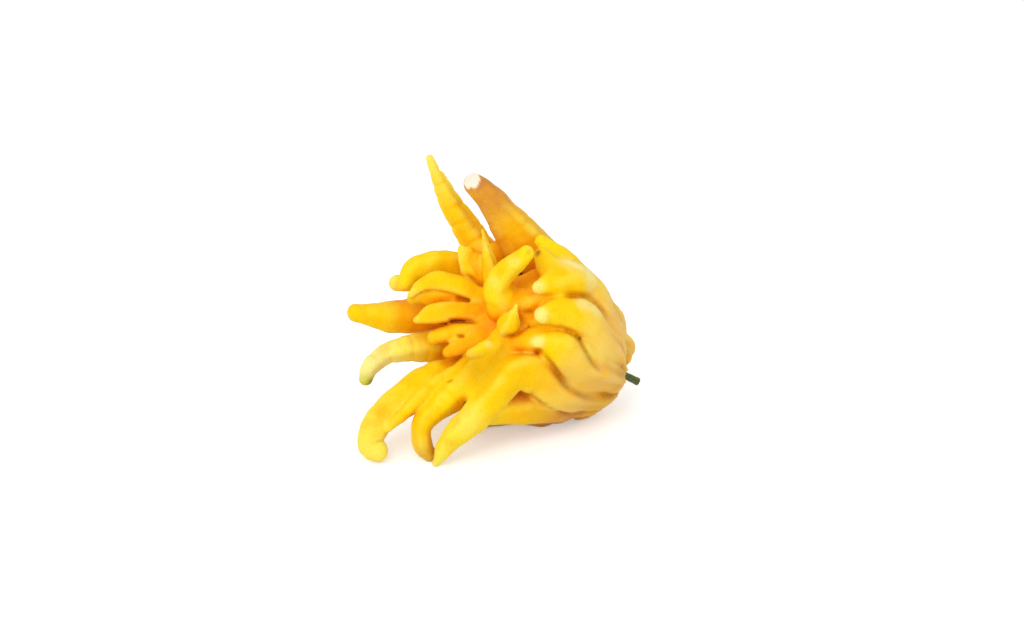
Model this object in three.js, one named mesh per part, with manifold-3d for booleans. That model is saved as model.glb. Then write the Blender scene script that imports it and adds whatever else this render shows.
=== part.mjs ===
// A Buddha's hand citron: a ribbed body whose lobes run on into curling fingers, with the cut
// end of its stalk. Millimetres, +Z up.
//
// The fruit lies on its side. Its own axis leans: the stalk end is low and towards +X, and the
// crown of fingers is high and towards -X. The origin is on the surface that the fruit rests on,
// under the middle of the body. Most lobes start in a ring round the stalk, climb the body as a
// rib and leave it as a finger; the inner fingers start inside the crown.
import * as THREE from "three";
import { mergeVertices } from "three/addons/utils/BufferGeometryUtils.js";
import Module from "manifold-3d";

const wasm = await Module();
wasm.setup();

// The body
const BODY_HEIGHT = 49;
const AXIS_TILT = 33;
const BODY_RADIUS = 34;
const BODY_HALF_LENGTH = 36;
// The round masses behind the fingers, x, y, z of the centre and radius.
const CROWN = [-44, 8, 64, 27];
const HEART = [-20, 2, 86, 19];
const BELLY = [-33, 4, 34, 25];
const VALLEY = [-37, 50, 106, 10];
const MASSES = [CROWN, HEART, BELLY, VALLEY];

// A rib from the stalk to the shoulder: distance along the axis from the middle of the body,
// distance off the axis, and radius. The upper ribs start further from the stalk than the lower.
const RIB = [[-35, 8, 5], [-30, 18, 9], [-18, 26.5, 13.5], [-4, 32, 16]];
const RIB_LEAN = 7;
const RIB_LEAN_FULL = 28;

// The lumps round the stalk: azimuth, distance along the axis, distance off it, radius.
const KNOBS = [[352, -34, 18.5, 10], [25, -33, 17, 7.5], [75, -34, 14, 6], [128, -36, 14, 6.5],
  [175, -38, 14, 6], [225, -37, 15, 6.5], [275, -35, 15, 6], [312, -34, 17, 6.5]];

// The stalk, on the axis at the low end
const PIT_FLOOR = 33;
const PIT_RADIUS = 6;
const CALYX_RADIUS = 5.5;
const CALYX_HEIGHT = 3;
const CALYX_TOP_RADIUS = 4.4;
const STALK_RADIUS = 3;
const STALK_END = 61;
const JOINT_GAP = 0.3;

// How finely the surfaces are divided
const FINGER_SIDES = 8;
const RING_STEP = 10;
const BODY_SIDES = 20;
const BODY_RINGS = 10;
const KNOB_SIDES = 8;
const KNOB_RINGS = 6;
const STALK_SIDES = 16;
// A polygon with its corners on a circle is thinner than the circle, so its corners go outside.
const FACET_GAIN = 1.04;
// The ring between a finger's end and its very tip: its radius and its place, as shares of the
// radius at the end.
const TIP_WIDTH = 0.75;
const TIP_PLACE = 0.65;
// The blocks that cut the pit and the flat rests are well larger than what they cut.
const CUT_SIZE = 600;

// The fingers. "rib" is the azimuth in degrees of the rib that a finger grows from, with 0 on
// top and 90 on the -Y side; a finger without one starts inside the crown. "girth" scales the
// rib's radius. "path" holds x, y, z of the centre line and the radius there, root first.
const FINGERS = {
  tall_thin: {
    rib: 300, girth: 0.8,
    path: [[-24, 48, 86, 11], [-46, 60, 101, 11.3], [-55, 69, 115, 10], [-64, 76, 131, 8.4],
      [-72, 82, 148, 6.3], [-79, 88, 167, 2.7]],
  },
  thick_cut: {
    rib: 322, girth: 0.85,
    path: [[-6, 34, 98, 16], [-21, 42, 113, 17], [-32, 49, 128, 14], [-43.5, 55.5, 145, 10.2],
      [-53.5, 60, 155.2, 8]],
  },
  blade: {
    path: [[-45, 20, 83, 9], [-51, 23, 97, 8], [-52, 25, 108, 6], [-53, 28, 118, 4.5],
      [-54, 30, 125, 3.2], [-55, 32, 132, 1.5]],
  },
  leaf: {
    path: [[-49, 26, 81, 7.5], [-60, 28, 93, 7.5], [-66, 31, 106, 6], [-69, 34, 118, 3.2]],
  },
  leaf_face: {
    path: [[-54, 29, 91.5, 6.5], [-62.5, 33, 105, 6.3], [-64.5, 34.7, 115.5, 4.6]],
  },
  leaf_fold: {
    path: [[-50.5, 28.5, 87.5, 7.5], [-56, 32, 102, 6.5], [-58, 33.5, 111, 5]],
  },
  big_curl: {
    rib: 279, girth: 0.8,
    path: [[-34, 42, 84, 12], [-56, 46, 95, 10], [-76, 49, 102, 9.5], [-92, 48.5, 102, 9.4],
      [-101, 48, 100, 9.2], [-105, 46.5, 93, 7.2]],
  },
  curl_knob: {
    path: [[-104, 47, 90.5, 6.4], [-111.7, 51.3, 90.2, 6.4]],
  },
  upper_inner: {
    path: [[-44, 13, 80, 10], [-63, 17, 89, 8.5], [-78, 20, 98, 7.9], [-91, 23, 101, 7.3],
      [-101, 24, 98, 5.5], [-108, 24, 92, 2.5]],
  },
  deep_inner: {
    path: [[-46, 15, 74, 10], [-68, 19, 82, 9], [-85, 23, 88.5, 8.6], [-98, 27, 89, 6.5],
      [-105, 28, 87.5, 5]],
  },
  far_straight: {
    rib: 257, girth: 0.82,
    path: [[-42, 44, 58, 13], [-76, 45, 66, 13], [-105, 45, 66.5, 12.3], [-122, 47, 67.5, 11],
      [-142, 53, 70, 6.3]],
  },
  middle_inner: {
    path: [[-46, 10, 76, 11], [-64, 9, 80, 9], [-83, 9, 83, 8.2], [-97, 9.8, 82.5, 7.6],
      [-107.5, 9.3, 80, 2.6]],
  },
  green_tipped: {
    rib: 235, girth: 0.8,
    path: [[-36, 32, 48, 12], [-70, 24, 50, 12.4], [-98, 20, 53.4, 11.6], [-116, 19, 54, 8.8],
      [-130, 20, 50, 7.2], [-140, 17, 44, 6.2], [-143, 15, 37, 5]],
  },
  low_inner: {
    path: [[-46, 2, 72, 11], [-67, -1, 73, 8.5], [-83, 0, 72, 7], [-97, 1, 69, 5.2]],
  },
  short_inner: {
    path: [[-48, -3, 66, 11], [-68, -7, 67, 8.5], [-81, -9, 65, 6.8], [-90, -11, 63, 4]],
  },
  palm_ridge: {
    path: [[-52, -18, 78, 6], [-61, -23, 71, 7.5], [-69, -26, 63, 9], [-73, -26, 55, 10]],
  },
  palm_knob: {
    path: [[-63, -23, 71, 7], [-71, -28, 71, 6], [-78, -28, 69, 4.2]],
  },
  palm_side: {
    path: [[-51.5, -22, 63.5, 9], [-64.5, -33, 54, 9], [-77, -36, 42.5, 8.5]],
  },
  palm_boss: {
    path: [[-42, -12, 82, 7], [-34, -18, 84, 7.5]],
  },
  palm_wall: {
    path: [[-52, -16, 64, 12.5], [-38, -16, 68, 15.5], [-24, -22, 66, 13.5]],
  },
  palm_bridge: {
    path: [[-52, -17, 71, 9], [-43.5, -23.5, 72, 10], [-34, -29, 74.5, 9.4],
      [-26.5, -27, 80.5, 8.5]],
  },
  thorn: {
    path: [[-51, -18.5, 80, 7.4], [-51.3, -24.2, 85, 8.4], [-49.6, -28, 92.3, 5.5],
      [-47, -28.5, 101, 1.5]],
  },
  hook: {
    path: [[-36, 1, 84, 13], [-49, -5, 92, 11.5], [-55, -7, 104, 9.3], [-52, -8, 113, 8.6],
      [-42, -9, 123, 7.4], [-35, -10, 129, 5.4]],
  },
  hook_web: {
    path: [[-52, -6, 88, 10], [-38, -13, 93, 11.5], [-26, -15, 97, 9]],
  },
  hook_wall: {
    path: [[-40, 8, 92, 9], [-31, 13, 93.5, 9], [-20, 12, 98.5, 9]],
  },
  top_stub: {
    rib: 347, girth: 0.88,
    path: [[2, 9, 102, 12], [-9, 12, 115, 10.5], [-17, 15, 125, 5]],
  },
  stub_fold: {
    path: [[-7, -1, 103, 11], [-16, 0, 112.5, 9.6], [-19, 6, 119, 6.2]],
  },
  shoulder_top: {
    rib: 14, girth: 1.0,
    path: [[7, 0, 93, 15.5], [-7, -9, 105, 16], [-20, -17, 108, 10], [-30, -22, 109, 4.6]],
  },
  shoulder_middle: {
    rib: 50, girth: 1.0,
    path: [[-3, -24, 83, 17], [-17, -27, 90, 13.5], [-30, -34, 94, 6]],
  },
  shoulder_low: {
    rib: 86, girth: 1.1,
    path: [[-10, -36, 61, 17.5], [-22, -38.5, 71.5, 14.5], [-30.5, -38.5, 77, 7.5],
      [-35, -38.5, 77.3, 4]],
  },
  front_arch: {
    rib: 122, girth: 1.1,
    path: [[-23, -34, 40, 17], [-37, -36, 52, 15.8], [-52, -40, 56, 12.4],
      [-62.5, -43.5, 48.5, 10.8], [-72.5, -46, 39.5, 10.8], [-84, -49, 29.5, 10.8],
      [-96, -50.5, 20, 8.6], [-104, -52, 10.5, 5.7], [-108.7, -51, 2.2, 3]],
  },
  front_lobe: {
    path: [[-4, -26, 24, 12], [-24, -31, 24, 12], [-45, -35, 28.5, 13], [-64, -40, 31.5, 11.5],
      [-78, -44, 33, 9.5]],
  },
  floor_finger: {
    rib: 154, girth: 1.1,
    path: [[-18, -18, 14, 12], [-42, -9, 10, 10], [-62, -7, 8.5, 9], [-74, -10, 7, 8]],
  },
  long_reach: {
    rib: 184, girth: 1.1,
    path: [[-34, 4, 30, 14], [-64, 0, 40, 13], [-90, -6, 44, 11], [-108, -11, 44, 9.8],
      [-123, -17, 38, 9.4], [-137, -23, 30, 9.6], [-146, -28, 20, 10.2], [-149, -32, 10, 9.4],
      [-145, -35, 8.5, 7.4]],
  },
  slim_reach: {
    path: [[-80, -13, 49, 8], [-96, -18, 46, 7], [-113, -25, 39, 7], [-127, -31, 31, 6.2],
      [-137, -34, 24, 3.8]],
  },
  front_hook: {
    path: [[-44, -12, 56, 16], [-66, -19, 52, 16], [-80, -24, 46, 14], [-94, -28, 38, 12],
      [-105, -33, 32, 8.8], [-114, -36.5, 25, 7.8], [-116, -39.5, 15, 7], [-114, -42, 8.7, 6.4],
      [-110.8, -42.5, 4.4, 5.3]],
  },
  far_prop: {
    rib: 211, girth: 1.0,
    path: [[-34, 28, 24, 12], [-56, 37, 15, 9.5], [-72, 41, 8, 8], [-82, 41, 5.5, 6.5]],
  },
  far_spur: {
    rib: 268, girth: 0.7,
    path: [[-44, 56, 74, 8], [-68, 68, 79, 7], [-86, 74, 77, 4.5]],
  },
};

const COLOURS = {
  fruit: { color: 0xf5c518, roughness: 0.45, metalness: 0 },
  calyx: { color: 0x5d6b2a, roughness: 0.7, metalness: 0 },
  stalk: { color: 0x33451f, roughness: 0.8, metalness: 0 },
};

const TILT = THREE.MathUtils.degToRad(AXIS_TILT);
const BODY_CENTRE = new THREE.Vector3(0, 0, BODY_HEIGHT);
const AXIS = new THREE.Vector3(-Math.cos(TILT), 0, Math.sin(TILT));
const TOP_SIDE = new THREE.Vector3(Math.sin(TILT), 0, Math.cos(TILT));
const NEAR_SIDE = new THREE.Vector3(0, -1, 0);

// The point a given distance along the axis, and a given distance off it towards an azimuth.
function bodyPoint(azimuth, along, off) {
  const angle = THREE.MathUtils.degToRad(azimuth);
  return BODY_CENTRE.clone()
    .addScaledVector(AXIS, along)
    .addScaledVector(TOP_SIDE, off * Math.cos(angle))
    .addScaledVector(NEAR_SIDE, off * Math.sin(angle));
}

// The centre line and the radii of one finger, its rib first.
function fingerLine({ rib, girth = 1, path }) {
  const points = [];
  const radii = [];
  if (rib !== undefined) {
    const lean = RIB_LEAN * Math.cos(THREE.MathUtils.degToRad(rib));
    for (const [along, off, radius] of RIB) {
      const share = Math.min(1, off / RIB_LEAN_FULL);
      points.push(bodyPoint(rib, along + lean * share, off));
      radii.push(radius * THREE.MathUtils.lerp(1, girth, share));
    }
  }
  for (const [x, y, z, radius] of path) {
    points.push(new THREE.Vector3(x, y, z));
    radii.push(radius);
  }
  return { curve: new THREE.CatmullRomCurve3(points), radii };
}

// The radius at a share of the way along the control points, joined by straight lines.
function radiusAt(radii, share) {
  const place = share * (radii.length - 1);
  const index = Math.min(Math.floor(place), radii.length - 2);
  return THREE.MathUtils.lerp(radii[index], radii[index + 1], place - index);
}

// A tapering round finger: a lathed profile, bent so that its axis follows the centre line.
// The profile's height is the distance along the line, and a half-round tip goes past its end.
function fingerGeometry(finger) {
  const { curve, radii } = fingerLine(finger);
  const length = curve.getLength();
  const rings = Math.round(length / RING_STEP);
  const tip = radii.at(-1);
  const profile = [new THREE.Vector2(0, 0)];
  for (let ring = 0; ring <= rings; ring += 1) {
    const share = ring / rings;
    const radius = radiusAt(radii, curve.getUtoTmapping(share));
    profile.push(new THREE.Vector2(radius * FACET_GAIN, share * length));
  }
  profile.push(new THREE.Vector2(tip * TIP_WIDTH, length + tip * TIP_PLACE));
  profile.push(new THREE.Vector2(0, length + tip));
  const geometry = new THREE.LatheGeometry(profile, FINGER_SIDES);
  const frames = curve.computeFrenetFrames(rings, false);
  const place = geometry.attributes.position;
  for (let i = 0; i < place.count; i += 1) {
    const height = place.getY(i);
    const share = Math.min(height / length, 1);
    const ring = Math.round(share * rings);
    const point = curve.getPointAt(share)
      .addScaledVector(frames.tangents[ring], Math.max(0, height - length))
      .addScaledVector(frames.normals[ring], place.getX(i))
      .addScaledVector(frames.binormals[ring], -place.getZ(i));
    place.setXYZ(i, point.x, point.y, point.z);
  }
  return geometry;
}

// An egg round the fruit's axis that fills the space inside the ribs.
function bodyGeometry() {
  const half = new THREE.EllipseCurve(
    0, 0, BODY_RADIUS, BODY_HALF_LENGTH, -Math.PI / 2, Math.PI / 2);
  const geometry = new THREE.LatheGeometry(half.getPoints(BODY_RINGS), BODY_SIDES);
  return alongAxis(geometry, 0);
}

// A shape of revolution about Y, turned onto the fruit's axis and moved along it.
function alongAxis(geometry, along) {
  const turn = new THREE.Quaternion().setFromUnitVectors(new THREE.Vector3(0, 1, 0), AXIS);
  geometry.applyQuaternion(turn);
  const { x, y, z } = bodyPoint(0, along, 0);
  return geometry.translate(x, y, z);
}

// A closed solid for joining and cutting. Its faces point outwards.
function solid(geometry) {
  const bare = geometry.clone();
  bare.deleteAttribute("normal");
  bare.deleteAttribute("uv");
  const merged = mergeVertices(bare);
  const mesh = new wasm.Mesh({
    numProp: 3,
    vertProperties: merged.attributes.position.array,
    triVerts: new Uint32Array(merged.index.array),
  });
  return new wasm.Manifold(mesh);
}

function geometryOf(body) {
  const mesh = body.getMesh();
  const geometry = new THREE.BufferGeometry();
  geometry.setAttribute("position", new THREE.BufferAttribute(mesh.vertProperties, 3));
  geometry.setIndex(new THREE.BufferAttribute(mesh.triVerts, 1));
  geometry.computeVertexNormals();
  return geometry;
}

// The largest of the closed surfaces in a solid: its skin, without any hollow left inside.
function outerSkin(body) {
  return body.decompose().reduce((a, b) => (a.volume() > b.volume() ? a : b));
}

// The round pit that the stalk stands in, from its floor outwards.
function pitGeometry() {
  const drum = new THREE.CylinderGeometry(PIT_RADIUS, PIT_RADIUS, CUT_SIZE, STALK_SIDES);
  return alongAxis(drum, -PIT_FLOOR - CUT_SIZE / 2);
}

// All that is below the surface: it takes a sliver off each place that the fruit rests on.
function belowTableGeometry() {
  return new THREE.BoxGeometry(CUT_SIZE, CUT_SIZE, CUT_SIZE).translate(0, 0, -CUT_SIZE / 2);
}

// The body, the crown, the fingers and the lumps grown together as one.
function fruitGeometry() {
  let fruit = solid(bodyGeometry());
  for (const [x, y, z, radius] of MASSES) {
    const mass = new THREE.SphereGeometry(radius, BODY_SIDES, BODY_RINGS).translate(x, y, z);
    fruit = fruit.add(solid(mass));
  }
  for (const finger of Object.values(FINGERS)) {
    fruit = fruit.add(solid(fingerGeometry(finger)));
  }
  for (const [azimuth, along, off, radius] of KNOBS) {
    const { x, y, z } = bodyPoint(azimuth, along, off);
    const knob = new THREE.SphereGeometry(radius, KNOB_SIDES, KNOB_RINGS).translate(x, y, z);
    fruit = fruit.add(solid(knob));
  }
  const cut = fruit.subtract(solid(pitGeometry())).subtract(solid(belowTableGeometry()));
  return geometryOf(outerSkin(cut));
}

// A low button at the foot of the stalk, in the pit.
function calyxGeometry() {
  const low = PIT_FLOOR + JOINT_GAP;
  const button = new THREE.CylinderGeometry(
    CALYX_RADIUS, CALYX_TOP_RADIUS, CALYX_HEIGHT, STALK_SIDES);
  return alongAxis(button, -low - CALYX_HEIGHT / 2);
}

// The stalk, cut square, from the button outwards.
function stalkGeometry() {
  const low = PIT_FLOOR + JOINT_GAP + CALYX_HEIGHT + JOINT_GAP;
  const length = STALK_END - low;
  const rod = new THREE.CylinderGeometry(STALK_RADIUS, STALK_RADIUS, length, STALK_SIDES);
  return alongAxis(rod, -low - length / 2);
}

function piece(name, geometry) {
  const mesh = new THREE.Mesh(geometry, new THREE.MeshStandardMaterial(COLOURS[name]));
  mesh.name = name;
  return mesh;
}

const citron = new THREE.Group();
citron.add(piece("fruit", fruitGeometry()));
citron.add(piece("calyx", calyxGeometry()));
citron.add(piece("stalk", stalkGeometry()));

export default citron;
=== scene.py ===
from math import cos, radians, sin

import bpy
import numpy as np
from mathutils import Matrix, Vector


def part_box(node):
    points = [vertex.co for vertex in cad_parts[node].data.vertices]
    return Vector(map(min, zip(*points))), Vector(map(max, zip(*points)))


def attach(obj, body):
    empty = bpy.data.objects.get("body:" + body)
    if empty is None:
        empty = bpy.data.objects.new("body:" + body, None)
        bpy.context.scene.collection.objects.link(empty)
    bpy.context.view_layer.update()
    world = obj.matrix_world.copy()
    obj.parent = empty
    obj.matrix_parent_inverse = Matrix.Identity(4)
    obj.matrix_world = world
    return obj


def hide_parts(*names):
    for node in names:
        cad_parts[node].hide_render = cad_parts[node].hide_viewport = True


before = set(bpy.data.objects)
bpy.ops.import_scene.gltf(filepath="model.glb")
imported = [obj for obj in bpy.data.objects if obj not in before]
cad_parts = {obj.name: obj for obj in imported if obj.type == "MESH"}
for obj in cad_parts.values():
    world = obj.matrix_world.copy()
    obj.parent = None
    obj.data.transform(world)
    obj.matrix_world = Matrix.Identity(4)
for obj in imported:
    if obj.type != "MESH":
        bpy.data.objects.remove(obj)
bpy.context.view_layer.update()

import openvdb
from mathutils import Matrix, Vector

bl_info = {
    "name": "Buddha's Hand Citron",
    "version": (1, 0, 0),
    "blender": (4, 5, 0),
    "location": "View3D > Sidebar > Citron",
    "description": "A Buddha's hand citron with its button and stalk, on a pale studio floor",
    "category": "Object",
}

# The shapes are worked out in millimetres and put into the meshes in metres.
MM = 0.001

# ---------------------------------------------------------------------------
# The fruit's plan, in millimetres: the same values as the solids are made from
# ---------------------------------------------------------------------------

BODY_CENTRE = np.array([0.0, 0.0, 49.0])
AXIS_TILT = radians(33)
AXIS = np.array([-cos(AXIS_TILT), 0.0, sin(AXIS_TILT)])
TOP_SIDE = np.array([sin(AXIS_TILT), 0.0, cos(AXIS_TILT)])
NEAR_SIDE = np.array([0.0, -1.0, 0.0])
BODY_RADIUS = 34.0
BODY_HALF_LENGTH = 36.0

# The round masses behind the fingers: centre, radius, and how softly they run into the rest.
MASSES = {
    "crown": ((-44, 8, 64), 26.5, 6),
    "heart": ((-20, 2, 86), 18.5, 6),
    "belly": ((-33, 4, 34), 24.5, 6),
    "valley": ((-37, 50, 106), 9.5, 5),
}

# A rib from the stalk to the shoulder: along the axis, off the axis, radius.
RIB = ((-35, 8, 5), (-30, 18, 9), (-18, 26.5, 13.5), (-4, 32, 16))
RIB_LEAN = 7.0
RIB_LEAN_FULL = 28.0

# The lumps round the stalk: azimuth, along the axis, off the axis, radius.
KNOBS = (
    (352, -34, 18.5, 10), (25, -33, 17, 7.5), (75, -34, 14, 6), (128, -36, 14, 6.5),
    (175, -38, 14, 6), (225, -37, 15, 6.5), (275, -35, 15, 6), (312, -34, 17, 6.5),
)

# The fingers: azimuth of the rib and its girth, or None; then x, y, z, radius from root to end.
FINGERS = {
    "tall_thin": (300, 0.8, (
        (-24, 48, 86, 11), (-46, 60, 101, 11.3), (-55, 69, 115, 10), (-64, 76, 131, 8.4),
        (-72, 82, 148, 6.3), (-79, 88, 167, 2.7))),
    "thick_cut": (322, 0.85, (
        (-6, 34, 98, 16), (-21, 42, 113, 17), (-32, 49, 128, 14), (-43.5, 55.5, 145, 10.2),
        (-53.5, 60, 155.2, 8))),
    "big_curl": (279, 0.8, (
        (-34, 42, 84, 12), (-56, 46, 95, 10), (-76, 49, 102, 9.5), (-92, 48.5, 102, 9.4),
        (-101, 48, 100, 9.2), (-105, 46.5, 93, 7.2))),
    "far_straight": (257, 0.82, (
        (-42, 44, 58, 13), (-76, 45, 66, 13), (-105, 45, 66.5, 12.3), (-122, 47, 67.5, 11),
        (-142, 53, 70, 6.3))),
    "green_tipped": (235, 0.8, (
        (-36, 32, 48, 12), (-70, 24, 50, 12.4), (-98, 20, 53.4, 11.6), (-116, 19, 54, 8.8),
        (-130, 20, 50, 7.2), (-140, 17, 44, 6.2), (-143, 15, 37, 5))),
    "top_stub": (347, 0.88, ((2, 9, 102, 12), (-9, 12, 115, 10.5), (-17, 15, 125, 5))),
    "stub_fold": (None, 1, ((-7, -1, 103, 11), (-16, 0, 112.5, 9.6), (-19, 6, 119, 6.2))),
    "shoulder_top": (14, 1.0, (
        (7, 0, 93, 15.5), (-7, -9, 105, 16), (-20, -17, 108, 10), (-30, -22, 109, 4.6))),
    "shoulder_middle": (50, 1.0, ((-3, -24, 83, 17), (-17, -27, 90, 13.5), (-30, -34, 94, 6))),
    "shoulder_low": (86, 1.1, (
        (-10, -36, 61, 17.5), (-22, -38.5, 71.5, 14.5), (-30.5, -38.5, 77, 7.5),
        (-35, -38.5, 77.3, 4))),
    "front_arch": (122, 1.1, (
        (-23, -34, 40, 17), (-37, -36, 52, 15.8), (-52, -40, 56, 12.4), (-62.5, -43.5, 48.5, 10.8),
        (-72.5, -46, 39.5, 10.8), (-84, -49, 29.5, 10.8), (-96, -50.5, 20, 8.6), (-104, -52, 10.5, 5.7),
        (-108.7, -51, 2.2, 3))),
    "front_lobe": (None, 1, (
        (-4, -26, 24, 12), (-24, -31, 24, 12), (-45, -35, 28.5, 13), (-64, -40, 31.5, 11.5),
        (-78, -44, 33, 9.5))),
    "floor_finger": (154, 1.1, (
        (-18, -18, 14, 12), (-42, -9, 10, 10), (-62, -7, 8.5, 9), (-74, -10, 7, 8))),
    "long_reach": (184, 1.1, (
        (-34, 4, 30, 14), (-64, 0, 40, 13), (-90, -6, 44, 11), (-108, -11, 44, 9.8),
        (-123, -17, 38, 9.4), (-137, -23, 30, 9.6), (-146, -28, 20, 10.2), (-149, -32, 10, 9.4),
        (-145, -35, 8.5, 7.4))),
    "far_prop": (211, 1.0, (
        (-34, 28, 24, 12), (-56, 37, 15, 9.5), (-72, 41, 8, 8), (-82, 41, 5.5, 6.5))),
    "far_spur": (268, 0.7, ((-44, 56, 74, 8), (-68, 68, 79, 7), (-86, 74, 77, 4.5))),
    "front_hook": (None, 1, (
        (-44, -12, 56, 16), (-66, -19, 52, 16), (-80, -24, 46, 14), (-94, -28, 38, 12),
        (-105, -33, 32, 8.8), (-114, -36.5, 25, 7.8), (-116, -39.5, 15, 7), (-114, -42, 8.7, 6.4),
        (-110.8, -42.5, 4.4, 5.3))),
    "slim_reach": (None, 1, (
        (-80, -13, 49, 8), (-96, -18, 46, 7), (-113, -25, 39, 7), (-127, -31, 31, 6.2),
        (-137, -34, 24, 3.8))),
    "hook": (None, 1, (
        (-36, 1, 84, 13), (-49, -5, 92, 11.5), (-55, -7, 104, 9.3), (-52, -8, 113, 8.6),
        (-42, -9, 123, 7.4), (-35, -10, 129, 5.4))),
    "hook_web": (None, 1, ((-52, -6, 88, 10), (-38, -13, 93, 11.5), (-26, -15, 97, 9))),
    "hook_wall": (None, 1, ((-40, 8, 92, 9), (-31, 13, 93.5, 9), (-20, 12, 98.5, 9))),
    "blade": (None, 1, (
        (-45, 20, 83, 9), (-51, 23, 97, 8), (-52, 25, 108, 6), (-53, 28, 118, 4.5), (-54, 30, 125, 3.2),
        (-55, 32, 132, 1.5))),
    "leaf": (None, 1, ((-49, 26, 81, 7.5), (-60, 28, 93, 7.5), (-66, 31, 106, 6), (-69, 34, 118, 3.2))),
    "leaf_face": (None, 1, ((-54, 29, 91.5, 6.5), (-62.5, 33, 105, 6.3), (-64.5, 34.7, 115.5, 4.6))),
    "leaf_fold": (None, 1, ((-50.5, 28.5, 87.5, 7.5), (-56, 32, 102, 6.5), (-58, 33.5, 111, 5))),
    "curl_knob": (None, 1, ((-104, 47, 90.5, 6.4), (-111.7, 51.3, 90.2, 6.4))),
    "upper_inner": (None, 1, (
        (-44, 13, 80, 10), (-63, 17, 89, 8.5), (-78, 20, 98, 7.9), (-91, 23, 101, 7.3),
        (-101, 24, 98, 5.5), (-108, 24, 92, 2.5))),
    "deep_inner": (None, 1, (
        (-46, 15, 74, 10), (-68, 19, 82, 9), (-85, 23, 88.5, 8.6), (-98, 27, 89, 6.5),
        (-105, 28, 87.5, 5))),
    "middle_inner": (None, 1, (
        (-46, 10, 76, 11), (-64, 9, 80, 9), (-83, 9, 83, 8.2), (-97, 9.8, 82.5, 7.6),
        (-107.5, 9.3, 80, 2.6))),
    "low_inner": (None, 1, ((-46, 2, 72, 11), (-67, -1, 73, 8.5), (-83, 0, 72, 7), (-97, 1, 69, 5.2))),
    "short_inner": (None, 1, (
        (-48, -3, 66, 11), (-68, -7, 67, 8.5), (-81, -9, 65, 6.8), (-90, -11, 63, 4))),
    "palm_ridge": (None, 1, (
        (-52, -18, 78, 6), (-61, -23, 71, 7.5), (-69, -26, 63, 9), (-73, -26, 55, 10))),
    "palm_knob": (None, 1, ((-63, -23, 71, 7), (-71, -28, 71, 6), (-78, -28, 69, 4.2))),
    "palm_side": (None, 1, ((-51.5, -22, 63.5, 9), (-64.5, -33, 54, 9), (-77, -36, 42.5, 8.5))),
    "palm_boss": (None, 1, ((-42, -12, 82, 7), (-34, -18, 84, 7.5))),
    "palm_wall": (None, 1, ((-52, -16, 64, 12.5), (-38, -16, 68, 15.5), (-24, -22, 66, 13.5))),
    "palm_bridge": (None, 1, (
        (-52, -17, 71, 9), (-43.5, -23.5, 72, 10), (-34, -29, 74.5, 9.4), (-26.5, -27, 80.5, 8.5))),
    "thorn": (None, 1, (
        (-51, -18.5, 80, 7.4), (-51.3, -24.2, 85, 8.4), (-49.6, -28, 92.3, 5.5),
        (-47, -28.5, 101, 1.5))),
}

# The stalk and its button, on the axis at the low end
PIT_FLOOR = 33.0
PIT_RADIUS = 6.0
BUTTON_LOW = 33.3
BUTTON_HEIGHT = 3.0
BUTTON_RADIUS = 5.3
STALK_LOW = 36.6
STALK_RADIUS = 2.75
STALK_END = 60.6

# ---------------------------------------------------------------------------
# Finish of each finger
# ---------------------------------------------------------------------------

# The rind's tints, as colours on a screen; some are laid on as painted highlights and painted shade.
TINTS = {
    "gold": (254, 204, 7),
    "deep_gold": (236, 178, 2),
    "lemon": (253, 222, 20),
    "pale_lemon": (254, 236, 104),
    "cream": (254, 240, 138),
    "ivory": (255, 250, 176),
    "amber": (222, 166, 2),
    "peach": (243, 196, 98),
    "tan": (218, 164, 40),
    "apricot": (253, 184, 6),
    "orange": (248, 152, 2),
    "ochre": (232, 148, 2),
    "terracotta": (214, 138, 54),
    "russet": (196, 122, 60),
    "lime": (206, 206, 70),
    "olive": (132, 134, 30),
    "bruise_and_shade": (150, 78, 34),
    "blush": (250, 178, 96),
    "pith": (246, 236, 214),
}
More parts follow.
